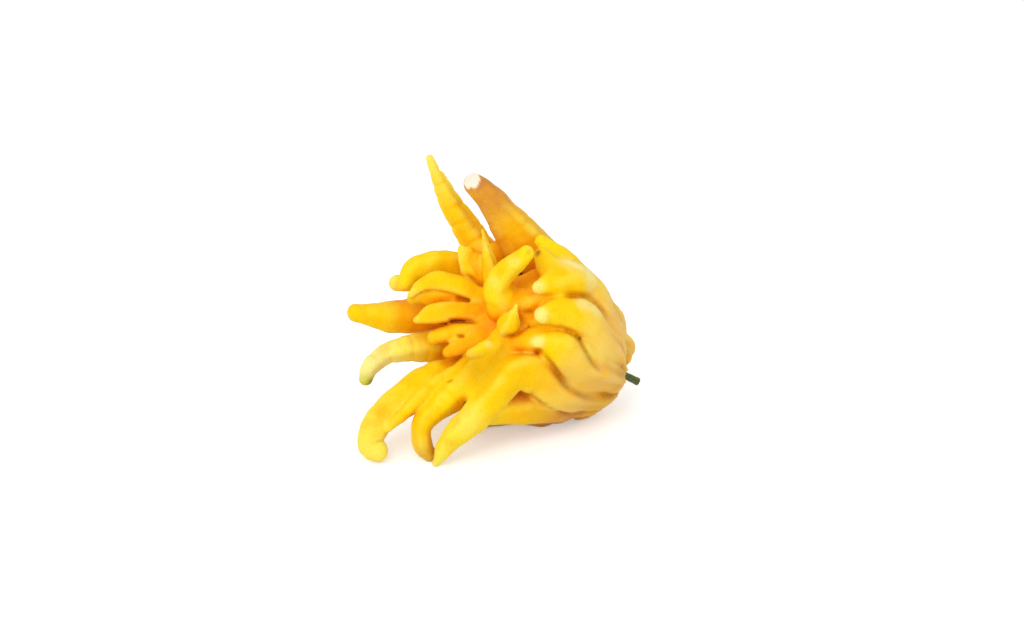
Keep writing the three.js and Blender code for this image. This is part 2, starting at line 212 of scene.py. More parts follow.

# Along each finger, from the stalk or the root to the end: its tints, evenly spaced; the
# spacing and depth of its rings in millimetres; the number and depth of its ridges. The orange
# and deeper tints at the roots inside the crown are painted shade; the paler tints towards the
# ends are partly the rind's own tone and partly painted light.
FINISH = {
    "tall_thin": ("tan gold orange gold gold pale_lemon", 10.2, 0.9, 4, 0.08),
    "thick_cut": ("tan peach peach orange ochre ochre ochre terracotta terracotta", 15, 0.5, 4, 0.04),
    "big_curl": ("peach gold gold gold lemon", 17, 0.4, 3, 0.03),
    "far_straight": ("peach orange apricot apricot gold", 19, 0.5, 4, 0.04),
    "green_tipped": (
        "orange orange orange orange orange orange "
        "orange apricot gold pale_lemon ivory ivory",
        8.6, 0.7, 4, 0.04),
    "top_stub": ("peach peach gold lemon", 22, 0.3, 4, 0.04),
    "stub_fold": ("gold gold", 22, 0.1, 3, 0.03),
    "shoulder_top": ("tan peach peach peach peach peach gold gold lemon", 26, 0.2, 3, 0.03),
    "shoulder_middle": ("tan tan peach peach peach peach gold gold lemon", 26, 0.2, 3, 0.03),
    "shoulder_low": ("tan tan tan peach peach peach peach gold lemon", 26, 0.2, 3, 0.03),
    "front_arch": ("tan tan peach apricot gold lemon pale_lemon", 20, 0.4, 4, 0.04),
    # Under the arch: terracotta and tan as painted shade.
    "front_lobe": ("terracotta terracotta apricot lemon", 20, 0.3, 4, 0.03),
    "floor_finger": ("tan terracotta terracotta apricot", 26, 0.2, 4, 0.02),
    "long_reach": ("peach deep_gold gold gold pale_lemon", 18, 0.5, 4, 0.05),
    "far_prop": ("tan peach gold lemon", 20, 0.4, 4, 0.03),
    "far_spur": ("peach gold gold lemon", 15, 0.4, 4, 0.04),
    "front_hook": ("deep_gold deep_gold gold lemon gold peach", 18, 0.5, 4, 0.05),
    "slim_reach": ("deep_gold gold gold gold", 14, 0.4, 3, 0.06),
    "hook": ("gold lemon lemon gold lemon", 16, 0.4, 3, 0.04),
    "blade": ("apricot gold lemon", 18, 0.2, 3, 0.12),
    "leaf": ("orange gold lemon", 18, 0.2, 2, 0.15),
    "leaf_face": ("orange orange apricot", 18, 0.2, 2, 0.10),
    "leaf_fold": ("orange orange apricot", 18, 0.2, 2, 0.10),
    "curl_knob": ("gold pale_lemon", 20, 0.1, 3, 0.02),
    # The inner fingers, webs and palm under the crown: mostly orange and deep gold as painted shade.
    "upper_inner": ("apricot gold gold", 16, 0.3, 3, 0.05),
    "deep_inner": ("orange orange apricot apricot", 16, 0.3, 3, 0.05),
    "middle_inner": ("orange orange apricot gold", 15, 0.3, 3, 0.05),
    "low_inner": ("orange orange apricot apricot", 15, 0.3, 3, 0.05),
    "short_inner": ("apricot apricot orange", 15, 0.3, 3, 0.05),
    "hook_web": ("orange orange apricot", 20, 0.1, 3, 0.02),
    "hook_wall": ("orange orange", 20, 0.1, 3, 0.02),
    "palm_boss": ("apricot apricot", 20, 0.1, 3, 0.04),
    "palm_bridge": ("orange orange apricot gold", 20, 0.1, 3, 0.02),
    "palm_wall": ("deep_gold apricot apricot", 20, 0.1, 3, 0.03),
    "palm_side": ("deep_gold deep_gold gold", 20, 0.1, 3, 0.03),
    "palm_ridge": ("deep_gold gold deep_gold", 15, 0.3, 3, 0.04),
    "palm_knob": ("gold lemon gold", 15, 0.1, 3, 0.04),
    "thorn": ("gold gold lemon", 15, 0.2, 3, 0.08),
}

# How softly a finger runs into the rest, in millimetres: at its root and towards its end.
RIB_WEB = 1.6
ROOT_WEB = 4.5
END_WEB = 0.9
CRISP = set("thorn palm_knob slim_reach front_hook leaf blade curl_knob".split())
CRISP_WEB = 1.0
SOFT = set((
    "deep_inner low_inner short_inner palm_boss palm_bridge palm_wall palm_ridge palm_side "
    "hook_web hook_wall stub_fold top_stub shoulder_top shoulder_middle shoulder_low "
    "front_lobe leaf_fold leaf_face").split())
SOFT_RIB = {"front_arch"}
SOFT_WEB = 3.2

# The broken end of the thickest finger: a point on the break, and the way that it faces.
BREAK_POINT = np.array([-56.0, 58.0, 159.0])
BREAK_FACING = np.array([-0.47, -0.40, 0.79])

# The creases where two forms meet and the slits where two part: depth, half width, how dark
# the painted shade in the middle is, then the places along it.
CREASE_INWARD = np.array([0.40, 0.77, -0.50])
CREASES = (
    (3.0, 2.4, 0.75, ((-34, -44, 73), (-28, -48, 64), (-21.5, -46, 52), (-16, -47, 44),
                      (-7, -46, 37), (9, -39, 26))),
    (2.2, 1.8, 0.80, ((-22, -38, 87), (-10, -41, 80), (-4, -46, 70), (2, -47, 59),
                      (12, -45, 49))),
    (2.2, 1.9, 0.65, ((-14, -26, 102.5), (-7, -24, 101), (4, -21, 98), (16, -18, 85),
                      (22, -19, 76))),
    (1.6, 1.4, 0.60, ((-57, -29, 81), (-50, -30, 80), (-36, -24, 81), (-33, -36, 90))),
    (1.6, 1.8, 0.45, ((-44, -46, 46), (-31, -44, 32), (-8, -37, 18), (2, -39, 19))),
    (0.8, 1.3, 0.60, ((-42, -28, 67), (-36, -29, 70))),
    (1.8, 1.3, 0.75, ((-69, 26, 103), (-63, 22, 99), (-59, 15, 96))),
    (1.0, 2.4, 0.12, ((-136, -23, 42), (-139, -28, 35), (-142, -34, 29), (-141, -36, 20))),
    (2.6, 1.3, 0.80, ((-79, 13.5, 92.2), (-69.5, 8.5, 90))),
    (2.8, 1.4, 0.80, ((-87, 1.5, 81.5), (-77, -1.5, 80.3), (-67, -5, 79.8))),
    (2.0, 1.1, 0.60, ((-83, -7, 72.6), (-77, -10, 72.7))),
    (2.0, 1.1, 0.60, ((-96.5, -29.8, 50.8), (-91.6, -31.4, 52.4))),
    (2.4, 1.6, 0.70, ((-43, -26, 94.6), (-34, -25, 93.5))),
    (0.6, 1.6, 0.75, ((-101, 31, 84), (-96, 30, 83))),
)

# How far a crease goes in from its curve, and how far in its floor gets painted shade.
CREASE_REACH = 5.0
SHADE_REACH = 11.0

# Dents: centre, radius and softness. The first is in the end of the hooked finger.
DENTS = (
    ((-34.1, -15.2, 132.3), 2.6, 1.0),
)

# The folds round the stalk: how many go round, their share, and how they twist.
STALK_FOLDS = ((13, 0.5, 0.5), (19, 0.4, -0.4), (27, 0.35, 0.3), (37, 0.25, -0.2))

# Marks on the rind: centre, reach, tint and strength. Some are the rind's own colour; many are painted
# highlights and painted shade, as noted below.
MARKS = (
    ((-143.5, 11.5, 35.5), 11.0, "lime", 0.85),
    ((-140.0, 11.0, 35.5), 5.0, "olive", 0.7),
    ((-44.0, 54.0, 158.0), 6.0, "bruise_and_shade", 0.5),
    ((-43.0, 52.0, 152.0), 26.0, "terracotta", 0.85),
    ((-112.0, -44.0, 7.0), 12.0, "tan", 0.7),
    ((-79.0, -31.0, 68.0), 4.0, "blush", 0.5),
    # Painted shadow: the dark hole between the hooked finger's arm and the stub.
    ((-23.2, 4.2, 122.6), 3.8, "bruise_and_shade", 0.9),
    ((-33.8, -14.1, 131.8), 3.2, "tan", 0.5),
    # Painted highlights on the three shoulder tips, partly their own paler rind.
    ((-33.5, -25.0, 111.0), 10.0, "cream", 0.8),
    ((-35.0, -38.0, 96.0), 11.0, "cream", 0.85),
    ((-36.5, -42.0, 79.0), 8.0, "cream", 0.8),
    # Painted highlight on the palm's knob.
    ((-66.0, -31.0, 76.0), 5.0, "cream", 0.6),
    # Painted shade over the palm.
    ((-68.0, -28.0, 56.0), 24.0, "amber", 0.9),
    # Painted highlights on the top of the body.
    ((-1.0, -8.0, 118.0), 15.0, "ivory", 0.6),
    ((9.0, -12.0, 108.0), 13.0, "ivory", 0.5),
    ((0.0, -31.0, 99.0), 10.0, "ivory", 0.5),
    ((9.0, -30.0, 93.0), 10.0, "ivory", 0.4),
    # Painted shade on the far straight finger, where it passes under the inner fingers.
    ((-107.0, 38.0, 72.0), 17.0, "orange", 0.5),
    # Painted shade in the hollow under the arch and low down under the near lobe.
    ((-57.0, -40.0, 37.0), 12.0, "terracotta", 0.5),
    ((-48.0, -40.0, 37.0), 12.0, "russet", 0.4),
    ((-12.0, -34.0, 12.0), 14.0, "russet", 0.45),
    # Painted shade on the long finger's side next to the slim one.
    ((-139.0, -30.0, 33.0), 9.0, "apricot", 0.5),
    # Painted highlights on the hooked finger's arm and on the arch.
    ((-45.5, -14.5, 126.5), 7.0, "pale_lemon", 0.6),
    ((-58.5, -13.5, 112.5), 8.0, "pale_lemon", 0.45),
    ((-88.0, -56.0, 34.0), 18.0, "pale_lemon", 0.55),
)

# Finger lines: the spacing of their samples, and how many are worked out in one block.
LINE_STEP = 2.0
CURVE_STEPS = 24
RUN_SAMPLES = 8

# The field: how far from a form it is worked out, and what stands for far away.
FIELD_MARGIN = 7.0
FIELD_FAR = FIELD_MARGIN + 2
FAR = 1e9
GRID_MARGIN = 5
DENT_MARGIN = 3.0
# Half the width of the block that each is worked out in.
BODY_REACH = 50
PIT_REACH = 20
FOLD_REACH = 56
BREAK_BLOCK = 16
# Steps between two places of a crease, and its shade's width as a share of its own.
CREASE_STEPS = 4
SHADE_NARROWING = 0.7
# How softly each joins the rest or is cut out of it, in millimetres.
FIRST_SOFTNESS = 9.0
BODY_SOFTNESS = 6.0
KNOB_SOFTNESS = 2.0
PIT_SOFTNESS = 2.5
BREAK_SOFTNESS = 0.8

# Random hills: spacing of the lattice, seed, and height as a share of the rind's hills. The
# lumps are only near the stalk end and clear of the ground; the break is rough in millimetres.
HILLS = ((9.0, 11, 1.0), (4.5, 12, 0.6))
LUMPS = (13.0, 13, 3.4)
BREAK_ROUGH = ((2.4, 5, 0.5), (5.0, 6, 0.35))
NOISE_REACH = 210.0
# The mean square of the cubic B-spline weights along one axis, to the power of three halves.
SPLINE_SPREAD = 0.332

# The light from above: how many rays go out over the whole sphere, where they start, and where
# along them the fruit is looked for.
SKY_RAYS = 80
SKY_START = 1.5
SKY_PLACES = (2.5, 5, 8, 12, 17, 23, 30, 38, 48)
# A place is inside the fruit from this depth on; rays along the rind are left out.
SKY_SOLID = 0.3
SKY_SLOPE = 0.05

# How far out from the rind a slit or a hollow closes in, and how far in a thin part ends.
SLIT_REACH = 2.2
HOLLOW_REACH = 5.5
THIN_REACH = 5.0

# Painted shade: what a colour is multiplied by where it is hidden from the sky, close under other rind,
# in a slit, in a crease or in a fold.
SKY_SHADE_FILM = np.array((1.0, 0.90, 0.25))
HOLLOW_SHADE_FILM = np.array((0.93, 0.76, 0.25))
SLIT_SHADE_FILM = np.array((0.50, 0.24, 0.08))
CREASE_SHADE_FILM = np.array((0.30, 0.12, 0.06))
FOLD_SHADE_LOSS = np.array((0.14, 0.22, 0.40))

# A finger's tint is felt this far from its rind; the body's own tint counts this little.
TINT_REACH = 1.2
TINT_MARGIN = 4
BODY_TINT_WEIGHT = 0.03

# The broken face: how far its colours go, its round edge, and the ripples in that edge.
BREAK_REACH = 12.0
RIM_REACH = 11.0
PITH_EDGE = (7.4, 5.8)
PITH_RIPPLES = ((0.7, (0.7, -0.5, 0.4)), (0.5, (-0.8, 1.1, 0.3)))

# The stage, in metres
FLOOR_REACH = 6.0
KEY_PLACE = (-0.75, -0.75, 1.05)
FILL_PLACE = (0.9, -0.7, 0.6)
LAMP_WIDTH = 0.9
SENSOR_WIDTH = 36.0
CLIP = (0.05, 50.0)
WHITE = (1, 1, 1, 1)


# ---------------------------------------------------------------------------
# Small tools
# ---------------------------------------------------------------------------

def linear(colour):
    """A screen colour, 0 to 255, as the linear values that a shader takes."""
    share = np.asarray(colour, dtype=float) / 255.0
    return np.where(share <= 0.04045, share / 12.92, ((share + 0.055) / 1.055) ** 2.4)

# The rind's tints, as shader values
PAINT = {name: linear(value) for name, value in TINTS.items()}


def smooth_step(low, high, value):
    """0 at low and before it, 1 at high and past it, and 3t^2 - 2t^3 between them."""
    share = np.clip((value - low) / (high - low), 0.0, 1.0)
    return share * share * (3.0 - 2.0 * share)


def soft_min(a, b, width):
    """The smaller of two fields, rounded over where they are within width of each other."""
    share = np.maximum(width - np.abs(a - b), 0.0) / width
    return np.minimum(a, b) - share * share * width * 0.25


def unit(vector):
    return vector / np.linalg.norm(vector, axis=-1, keepdims=True)

def dot(direction, x, y, z):
    """The dot product of one direction with each x, y and z."""
    return x * direction[0] + y * direction[1] + z * direction[2]


def distance(centre, x, y, z):
    """The straight distance from a centre to each x, y and z."""
    return np.sqrt((x - centre[0]) ** 2 + (y - centre[1]) ** 2 + (z - centre[2]) ** 2)


def around(points, reach):
    """The two corners of the box that holds the points, with a margin."""
    return points.min(axis=0) - reach, points.max(axis=0) + reach


def near_points(points, line, reach):
    """The numbers of the points inside the box round a line."""
    low, high = around(line, reach)
    return np.nonzero(((points > low) & (points < high)).all(axis=1))[0]


def body_point(azimuth, along, off):
    """The point along the fruit's axis and off it towards an azimuth, 0 on top, 90 near."""
    angle = radians(azimuth)
    side = off * (cos(angle) * TOP_SIDE + sin(angle) * NEAR_SIDE)
    return BODY_CENTRE + along * AXIS + side


def curve_points(knots, per_span):
    """A centripetal Catmull-Rom curve: on each span between two knots, the cubic whose end
    tangents come from the knots on both sides, weighted by the square roots of the gaps.
    Gives the points and, for each, its place counted in knots."""
    ends = np.vstack([2 * knots[0] - knots[1], knots, 2 * knots[-1] - knots[-2]])
    p0, p1, p2, p3 = (ends[i:len(ends) - 3 + i, None, :] for i in range(4))
    d0, d1, d2 = (
        np.sqrt(np.linalg.norm(b - a, axis=-1, keepdims=True))
        for a, b in ((p0, p1), (p1, p2), (p2, p3))
    )
    m1 = ((p1 - p0) / d0 - (p2 - p0) / (d0 + d1) + (p2 - p1) / d1) * d1
    m2 = ((p2 - p1) / d1 - (p3 - p1) / (d1 + d2) + (p3 - p2) / d2) * d1
    t = np.linspace(0, 1, per_span, endpoint=False)[None, :, None]
    curve = (
        p1 + m1 * t
        + (3 * (p2 - p1) - 2 * m1 - m2) * t ** 2
        + (2 * (p1 - p2) + m1 + m2) * t ** 3
    )
    points = np.vstack([curve.reshape(-1, 3), knots[-1:]])
    place = np.append(np.arange(len(knots) - 1)[:, None] + t[0, :, 0], len(knots) - 1)
    return points, place


class Line:
    """A finger's centre line, every two millimetres: points, radii, distance from the start,
    and two directions square to the line, from the direction that the finger bends least in."""

    def __init__(self, name):
        rib, girth, path = FINGERS[name]
        knots, radii = [], []
        if rib is not None:
            lean = RIB_LEAN * cos(radians(rib))
            for along, off, radius in RIB:
                share = min(1.0, off / RIB_LEAN_FULL)
                knots.append(body_point(rib, along + lean * share, off))
                radii.append(radius * (1 + (girth - 1) * share))
        knots += [np.array(row[:3], float) for row in path]
        radii += [row[3] for row in path]
        dense, place = curve_points(np.array(knots), CURVE_STEPS)
        gaps = np.linalg.norm(np.diff(dense, axis=0), axis=1)
        run = np.concatenate([[0.0], np.cumsum(gaps)])
        count = max(3, int(round(run[-1] / LINE_STEP)) + 1)
        self.name = name
        self.ribbed = rib is not None
        self.length = run[-1]
        self.along = np.linspace(0, run[-1], count)
        self.points = np.stack(
            [np.interp(self.along, run, dense[:, i]) for i in range(3)], axis=1)
        raw = np.interp(np.interp(self.along, run, place), np.arange(len(radii)), radii)
        padded = np.pad(raw, 2, mode="edge")
        kernel = np.array([1, 2, 3, 2, 1]) / 9.0
        self.radii = np.convolve(padded, kernel, mode="valid")
        tangent = unit(np.gradient(self.points, axis=0))
        spread = self.points - self.points.mean(axis=0)
        least = np.linalg.svd(spread, full_matrices=False)[2][-1]
        self.first = unit(least - (tangent @ least)[:, None] * tangent)
        self.second = np.cross(tangent, self.first)
        self.seed = sum(map(ord, name)) % 97

    def nearest(self, x, y, z, start, stop):
        """The squared distance from each point to the line between two of its samples, and the
        distance along the line to the nearest place on it."""
        best = np.full(np.broadcast_shapes(x.shape, y.shape, z.shape), FAR, np.float32)
        along = np.zeros_like(best)
        for i in range(start, stop):
            a, step = self.points[i], self.points[i + 1] - self.points[i]
            dx, dy, dz = x - a[0], y - a[1], z - a[2]
            t = np.clip(dot(step, dx, dy, dz) / float(step @ step), 0.0, 1.0)
            d = (dx - t * step[0]) ** 2 + (dy - t * step[1]) ** 2 + (dz - t * step[2]) ** 2
            closer = d < best
            best = np.where(closer, d, best)
            here = self.along[i] + t * (self.along[i + 1] - self.along[i])
            along = np.where(closer, here, along)
        return best, along

    def at(self, along, values):
        return np.interp(along, self.along, values)

    def relief(self, x, y, z, along):
        """The ridges, as a share of the radius, and the rings, in millimetres. Ridges are
        a cos(n angle), turning slowly along the line; rings are narrow dips a ring gap apart,
        counted from the end, unevenly deep. Both fade at the root and at the very end."""
        _, ring_gap, ring_depth, ridges, ridge_depth = FINISH[self.name]
        centre = [self.at(along, self.points[:, i]) for i in range(3)]
        offset = (x - centre[0], y - centre[1], z - centre[2])
        across = sum(offset[i] * self.at(along, self.first[:, i]) for i in range(3))
        up = sum(offset[i] * self.at(along, self.second[:, i]) for i in range(3))
        angle = np.arctan2(up, across)
        phase = self.seed * 0.7
        share = along / self.length
        ridge = ridge_depth * np.cos(ridges * angle + phase + 1.2 * share)
        ridge += 0.5 * ridge_depth * np.cos((ridges + 2) * angle - 2 * phase + 3 * share)
        turns = (self.length - along) / ring_gap - 0.83
        turns += 0.16 * np.sin(1.9 * turns + phase) + 0.06 * np.cos(angle + phase)
        dip = (0.5 + 0.5 * np.cos(2 * np.pi * turns)) ** 5
        dip *= ring_depth * (0.6 + 0.4 * np.cos(angle + 2 * phase + 2.4 * turns))
        fade = smooth_step(0.0, 0.25, share) * (1 - smooth_step(0.93, 1.0, share))
        if self.ribbed:
            fade = fade * smooth_step(0.25, 0.5, share)
        return ridge * fade, dip * fade

    def skin(self, x, y, z, squared, along):
        """Signed distance to the finger's rind: the distance to the centre line, less the
        radius there, with its ridges and rings."""
        ridge, dip = self.relief(x, y, z, along)
        return np.sqrt(squared) - self.at(along, self.radii) * (1 + ridge) + dip

    def web(self, along):
        """How softly the finger joins the rest there: soft at a root inside the crown, and
        crisp where two ribs or two free fingers only touch."""
        share = along / self.length
        if self.name in SOFT:
            return np.full_like(share, SOFT_WEB)
        if self.name in CRISP:
            return np.full_like(share, CRISP_WEB)
        if self.name in SOFT_RIB:
            return SOFT_WEB + (END_WEB - SOFT_WEB) * smooth_step(0.6, 0.8, share)
        if self.ribbed:
            return RIB_WEB + (END_WEB - RIB_WEB) * smooth_step(0.5, 0.8, share)
        return ROOT_WEB + (END_WEB - ROOT_WEB) * smooth_step(0.05, 0.55, share)


# ---------------------------------------------------------------------------
# The fruit
# ---------------------------------------------------------------------------

class Grid:
    """A block of points round the fruit, with the signed distance to the rind at each."""

    def __init__(self, low, high, step):
        self.step = step
        self.low = np.asarray(low, float)
        counts = np.ceil((np.asarray(high, float) - self.low) / step).astype(int) + 1
        self.axes = [self.low[i] + step * np.arange(counts[i]) for i in range(3)]
        self.whole = tuple(slice(count) for count in counts)
        self.field = np.full(tuple(counts), FIELD_FAR, np.float32)
        self.softness = np.full(tuple(counts), FIRST_SOFTNESS, np.float32)

    def block(self, low, high):
        """The slices of the grid that cover a box."""
        first = np.floor((low - self.low) / self.step).astype(int)
        last = np.ceil((high - self.low) / self.step).astype(int) + 1
        size = np.array(self.field.shape)
        return tuple(
            slice(a, b) for a, b in zip(np.clip(first, 0, size), np.clip(last, 0, size)))

    def places(self, block):
        """The x, y and z of a block's points, ready to be broadcast together."""
        x, y, z = (axis[part].astype(np.float32) for axis, part in zip(self.axes, block))
        return x[:, None, None], y[None, :, None], z[None, None, :]

    def join(self, block, field, softness):
        """Adds a form to the fruit: the softer of the two sides gives way to the crisper."""
        old = self.field[block]
        width = np.minimum(self.softness[block], softness)
        self.softness[block] = np.where(field < old, softness, self.softness[block])
        self.field[block] = soft_min(old, field, width)

    def cut(self, block, form, softness):
        """Takes a form out of the fruit and rounds the edge over."""
        self.field[block] = -soft_min(-self.field[block], form, softness)

    def sample(self, values, points):
        """The values at any points, by straight-line mixing between the eight round each."""
        place = (points - self.low) / self.step
        size = np.array(values.shape)
        place = np.clip(place, 0, size - 1.001)
        corner = place.astype(int)
        share = place - corner
        total = np.zeros(len(points))
        for i in (0, 1):
            for j in (0, 1):
                for k in (0, 1):
                    weight = (
                        np.abs(1 - i - share[:, 0])
                        * np.abs(1 - j - share[:, 1])
                        * np.abs(1 - k - share[:, 2])
                    )
                    total += weight * values[
                        corner[:, 0] + i, corner[:, 1] + j, corner[:, 2] + k]
        return total


def spline_weights(axis, spacing):
    """How much each lattice point counts at each place on an axis: the cubic B-spline bump.
    The lattice has its middle at 0 and reaches past the fruit, whatever the axis covers."""
    count = 2 * int(NOISE_REACH / spacing) + 1
    gap = np.abs(axis[:, None] / spacing + count // 2 - np.arange(count)[None, :])
    near = (4 - 6 * gap ** 2 + 3 * gap ** 3) / 6
    far = np.maximum(2 - gap, 0) ** 3 / 6
    return np.where(gap < 1, near, far)


def soft_noise(axes, spacing, seed):
    """Smooth random hills: seeded random heights on a coarse lattice, mixed by B-spline
    weights along x, then y, then z. Their spread is about 1."""
    x, y, z = (spline_weights(axis, spacing) for axis in axes)
    rng = np.random.default_rng(seed)
    lattice = rng.standard_normal((x.shape[1], y.shape[1], z.shape[1]))
    hills = np.tensordot(x, lattice, axes=(1, 0))
    hills = np.tensordot(hills, y, axes=(1, 1))
    hills = np.tensordot(hills, z, axes=(1, 1))
    return (hills / SPLINE_SPREAD).astype(np.float32)

def add_finger(grid, line):
    """Works the finger out in short runs, each in its own small block, keeps the nearest place
    on the line at each point, and joins its rind to the fruit."""
    whole = grid.block(*around(line.points, line.radii.max() + FIELD_MARGIN))
    shape = grid.field[whole].shape
    squared = np.full(shape, FAR, np.float32)
    along = np.zeros(shape, np.float32)
    last = len(line.points) - 1
    for start in range(0, last, RUN_SAMPLES):
        stop = min(start + RUN_SAMPLES, last)
        reach = line.radii[start:stop + 1].max() + FIELD_MARGIN
        block = grid.block(*around(line.points[start:stop + 1], reach))
        d, s = line.nearest(*grid.places(block), start, stop)
        inner = tuple(
            slice(b.start - w.start, b.stop - w.start) for b, w in zip(block, whole))
        closer = d < squared[inner]
        squared[inner] = np.where(closer, d, squared[inner])
        along[inner] = np.where(closer, s, along[inner])
    field = line.skin(*grid.places(whole), squared, along).astype(np.float32)
    grid.join(whole, field, line.web(along).astype(np.float32))


def add_body(grid):
    """The egg inside the ribs: (sqrt((off / radius)^2 + (along / half length)^2) - 1) radius."""
    block = grid.block(BODY_CENTRE - BODY_REACH, BODY_CENTRE + BODY_REACH)
    along, off = axis_places(*grid.places(block))
    egg = np.sqrt((off / BODY_RADIUS) ** 2 + (along / BODY_HALF_LENGTH) ** 2) - 1
    grid.join(block, (egg * BODY_RADIUS).astype(np.float32), np.float32(BODY_SOFTNESS))


def axis_places(x, y, z):
    """The distance of points along the fruit's axis and off it."""
    dx, dy, dz = x - BODY_CENTRE[0], y - BODY_CENTRE[1], z - BODY_CENTRE[2]
    along = dot(AXIS, dx, dy, dz)
    squared = dx * dx + dy * dy + dz * dz - along * along
    return along, np.sqrt(np.maximum(squared, 0))


def ball(grid, centre, radius, margin):
    """The block round a ball, and how far each point in it is from the ball's surface."""
    centre = np.asarray(centre, float)
    block = grid.block(centre - radius - margin, centre + radius + margin)
    gap = distance(centre, *grid.places(block))
    return block, (gap - radius).astype(np.float32)


def add_ball(grid, centre, radius, softness):
    """A ball grown on to the fruit."""
    grid.join(*ball(grid, centre, radius, FIELD_MARGIN), np.float32(softness))


def dent(grid, centre, radius, softness):
    """A round dent: a ball taken out of the fruit."""
    grid.cut(*ball(grid, centre, radius, DENT_MARGIN), softness)


def cut_pit(grid):
    """A round pit for the button: the field is at least the depth inside a drum."""
    centre = BODY_CENTRE - (PIT_FLOOR + 6) * AXIS
    block = grid.block(centre - PIT_REACH, centre + PIT_REACH)
    along, off = axis_places(*grid.places(block))
    grid.cut(block, np.maximum(off - PIT_RADIUS, along + PIT_FLOOR), PIT_SOFTNESS)


def crease_gap(x, y, z, curve, reach):
    """The distance to a thin plate that follows the curve, reaches a little way outwards and
    the given way inwards, and how deep the crease is there: whole in the middle, nothing at
    both ends."""
    nearest = np.full(np.broadcast(x, y, z).shape, FAR, np.float32)
    fade = np.zeros(nearest.shape, np.float32)
    spans = len(curve) - 1
    for index in range(spans):
        start, run = curve[index], curve[index + 1] - curve[index]
        dx, dy, dz = x - start[0], y - start[1], z - start[2]
        share = np.clip(dot(run, dx, dy, dz) / (run @ run), 0, 1)
        dx, dy, dz = dx - share * run[0], dy - share * run[1], dz - share * run[2]
        inner = np.clip(dot(CREASE_INWARD, dx, dy, dz), -CREASE_REACH, reach)
        gap = distance([inner * part for part in CREASE_INWARD], dx, dy, dz)
        closer = gap < nearest
        nearest = np.where(closer, gap, nearest)
        fade = np.where(closer, 1 - (2 * (index + share) / spans - 1) ** 4, fade)
    return nearest, fade


def crease_curve(knots):
    """The smooth curve through the places along a crease."""
    return curve_points(np.array(knots, float), CREASE_STEPS)[0]


def press_creases(grid):
    """Each crease lowers the rind by depth times exp(-(distance / half width) squared)."""
    for depth, half_width, _, knots in CREASES:
        curve = crease_curve(knots)
        block = grid.block(*around(curve, CREASE_REACH + 2 * half_width))
        gap, fade = crease_gap(*grid.places(block), curve, CREASE_REACH)
        valley = depth * fade * np.exp(-(gap / half_width) ** 2)
        grid.field[block] += valley.astype(np.float32)


def crease_shade(points):
    """How dark the painted shade in the middle of the creases makes each point."""
    dark = np.zeros(len(points))
    for _, half_width, shade, knots in CREASES:
        curve = crease_curve(knots)
        near = near_points(points, curve, SHADE_REACH + 2 * half_width)
        gap, fade = crease_gap(*points[near].T, curve, SHADE_REACH)
        line = shade * fade * np.exp(-(gap / (SHADE_NARROWING * half_width)) ** 2)
        dark[near] = np.maximum(dark[near], line)
    return dark


def stalk_folds(x, y, z):
    """Fine folds that run in to the stalk: the sum of waves round the axis, each with its own
    count and slow twist, deepest near the stalk and gone by the shoulders."""
    along, off = axis_places(x, y, z)
    side = (x - BODY_CENTRE[0]) * TOP_SIDE[0] + (z - BODY_CENTRE[2]) * TOP_SIDE[2]
    angle = np.arctan2(-(y - BODY_CENTRE[1]), side)
    wave = sum(
        share * np.cos(count * angle + 1.7 * count + twist * along / 10)
        for count, share, twist in STALK_FOLDS
    )
    return wave * smooth_step(14, -14, along) * smooth_step(7, 14, off)


def wrinkle_stalk_end(grid, height):
    """Raises and lowers the rind by the stalk's folds."""
    block = grid.block(BODY_CENTRE - FOLD_REACH, BODY_CENTRE + FOLD_REACH)
    folds = stalk_folds(*grid.places(block))
    grid.field[block] += (height * folds).astype(np.float32)


def break_end(grid, settings):
    """The broken end of the thick finger: a slanting face, roughened by fine hills."""
    block = grid.block(BREAK_POINT - BREAK_BLOCK, BREAK_POINT + BREAK_BLOCK)
    x, y, z = grid.places(block)
    height = dot(unit(BREAK_FACING), x - BREAK_POINT[0], y - BREAK_POINT[1], z - BREAK_POINT[2])
    axes = [axis[part] for axis, part in zip(grid.axes, block)]
    rough = sum(share * soft_noise(axes, spacing, seed) for spacing, seed, share in BREAK_ROUGH)
    face = height - settings.break_depth / MM + rough
    grid.cut(block, -face, BREAK_SOFTNESS)


def fruit_grid(settings, lines):
    """The whole rind as one field: the body, the masses, the fingers, then the hills."""
    low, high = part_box("fruit")
    low, high = np.array(low) / MM - GRID_MARGIN, np.array(high) / MM + GRID_MARGIN
    grid = Grid(low, high, settings.grain / MM)
    add_body(grid)
    for centre, radius, softness in MASSES.values():
        add_ball(grid, centre, radius, softness)
    for line in lines:
        add_finger(grid, line)
    for azimuth, along, off, radius in KNOBS:
        add_ball(grid, body_point(azimuth, along, off), radius, KNOB_SOFTNESS)
    cut_pit(grid)
    press_creases(grid)
    for centre, radius, softness in DENTS:
        dent(grid, centre, radius, softness)
    wrinkle_stalk_end(grid, settings.folds / MM)
    hills = settings.hills / MM
    for spacing, seed, share in HILLS:
        grid.field += share * hills * soft_noise(grid.axes, spacing, seed)
    x, y, height = grid.places(grid.whole)
    along, _ = axis_places(x, y, height)
    lumps = (smooth_step(20, -15, along) * smooth_step(8, 25, height)).astype(np.float32)
    spacing, seed, share = LUMPS
    grid.field += share * hills * lumps * soft_noise(grid.axes, spacing, seed)
    grid.field += settings.trim / MM
    break_end(grid, settings)
    return grid


def connected(faces, count):
    """For each vertex, the lowest vertex that its surface reaches: each edge hands its lower
    label to both ends, until nothing changes."""
    label = np.arange(count)
    a, b = faces.ravel(), np.roll(faces, -1, axis=1).ravel()
    while True:
        low = np.minimum(label[a], label[b])
        new = label.copy()
        np.minimum.at(new, a, low)
        np.minimum.at(new, b, low)
        new = new[new]
        if (new == label).all():
            return label
        label = new


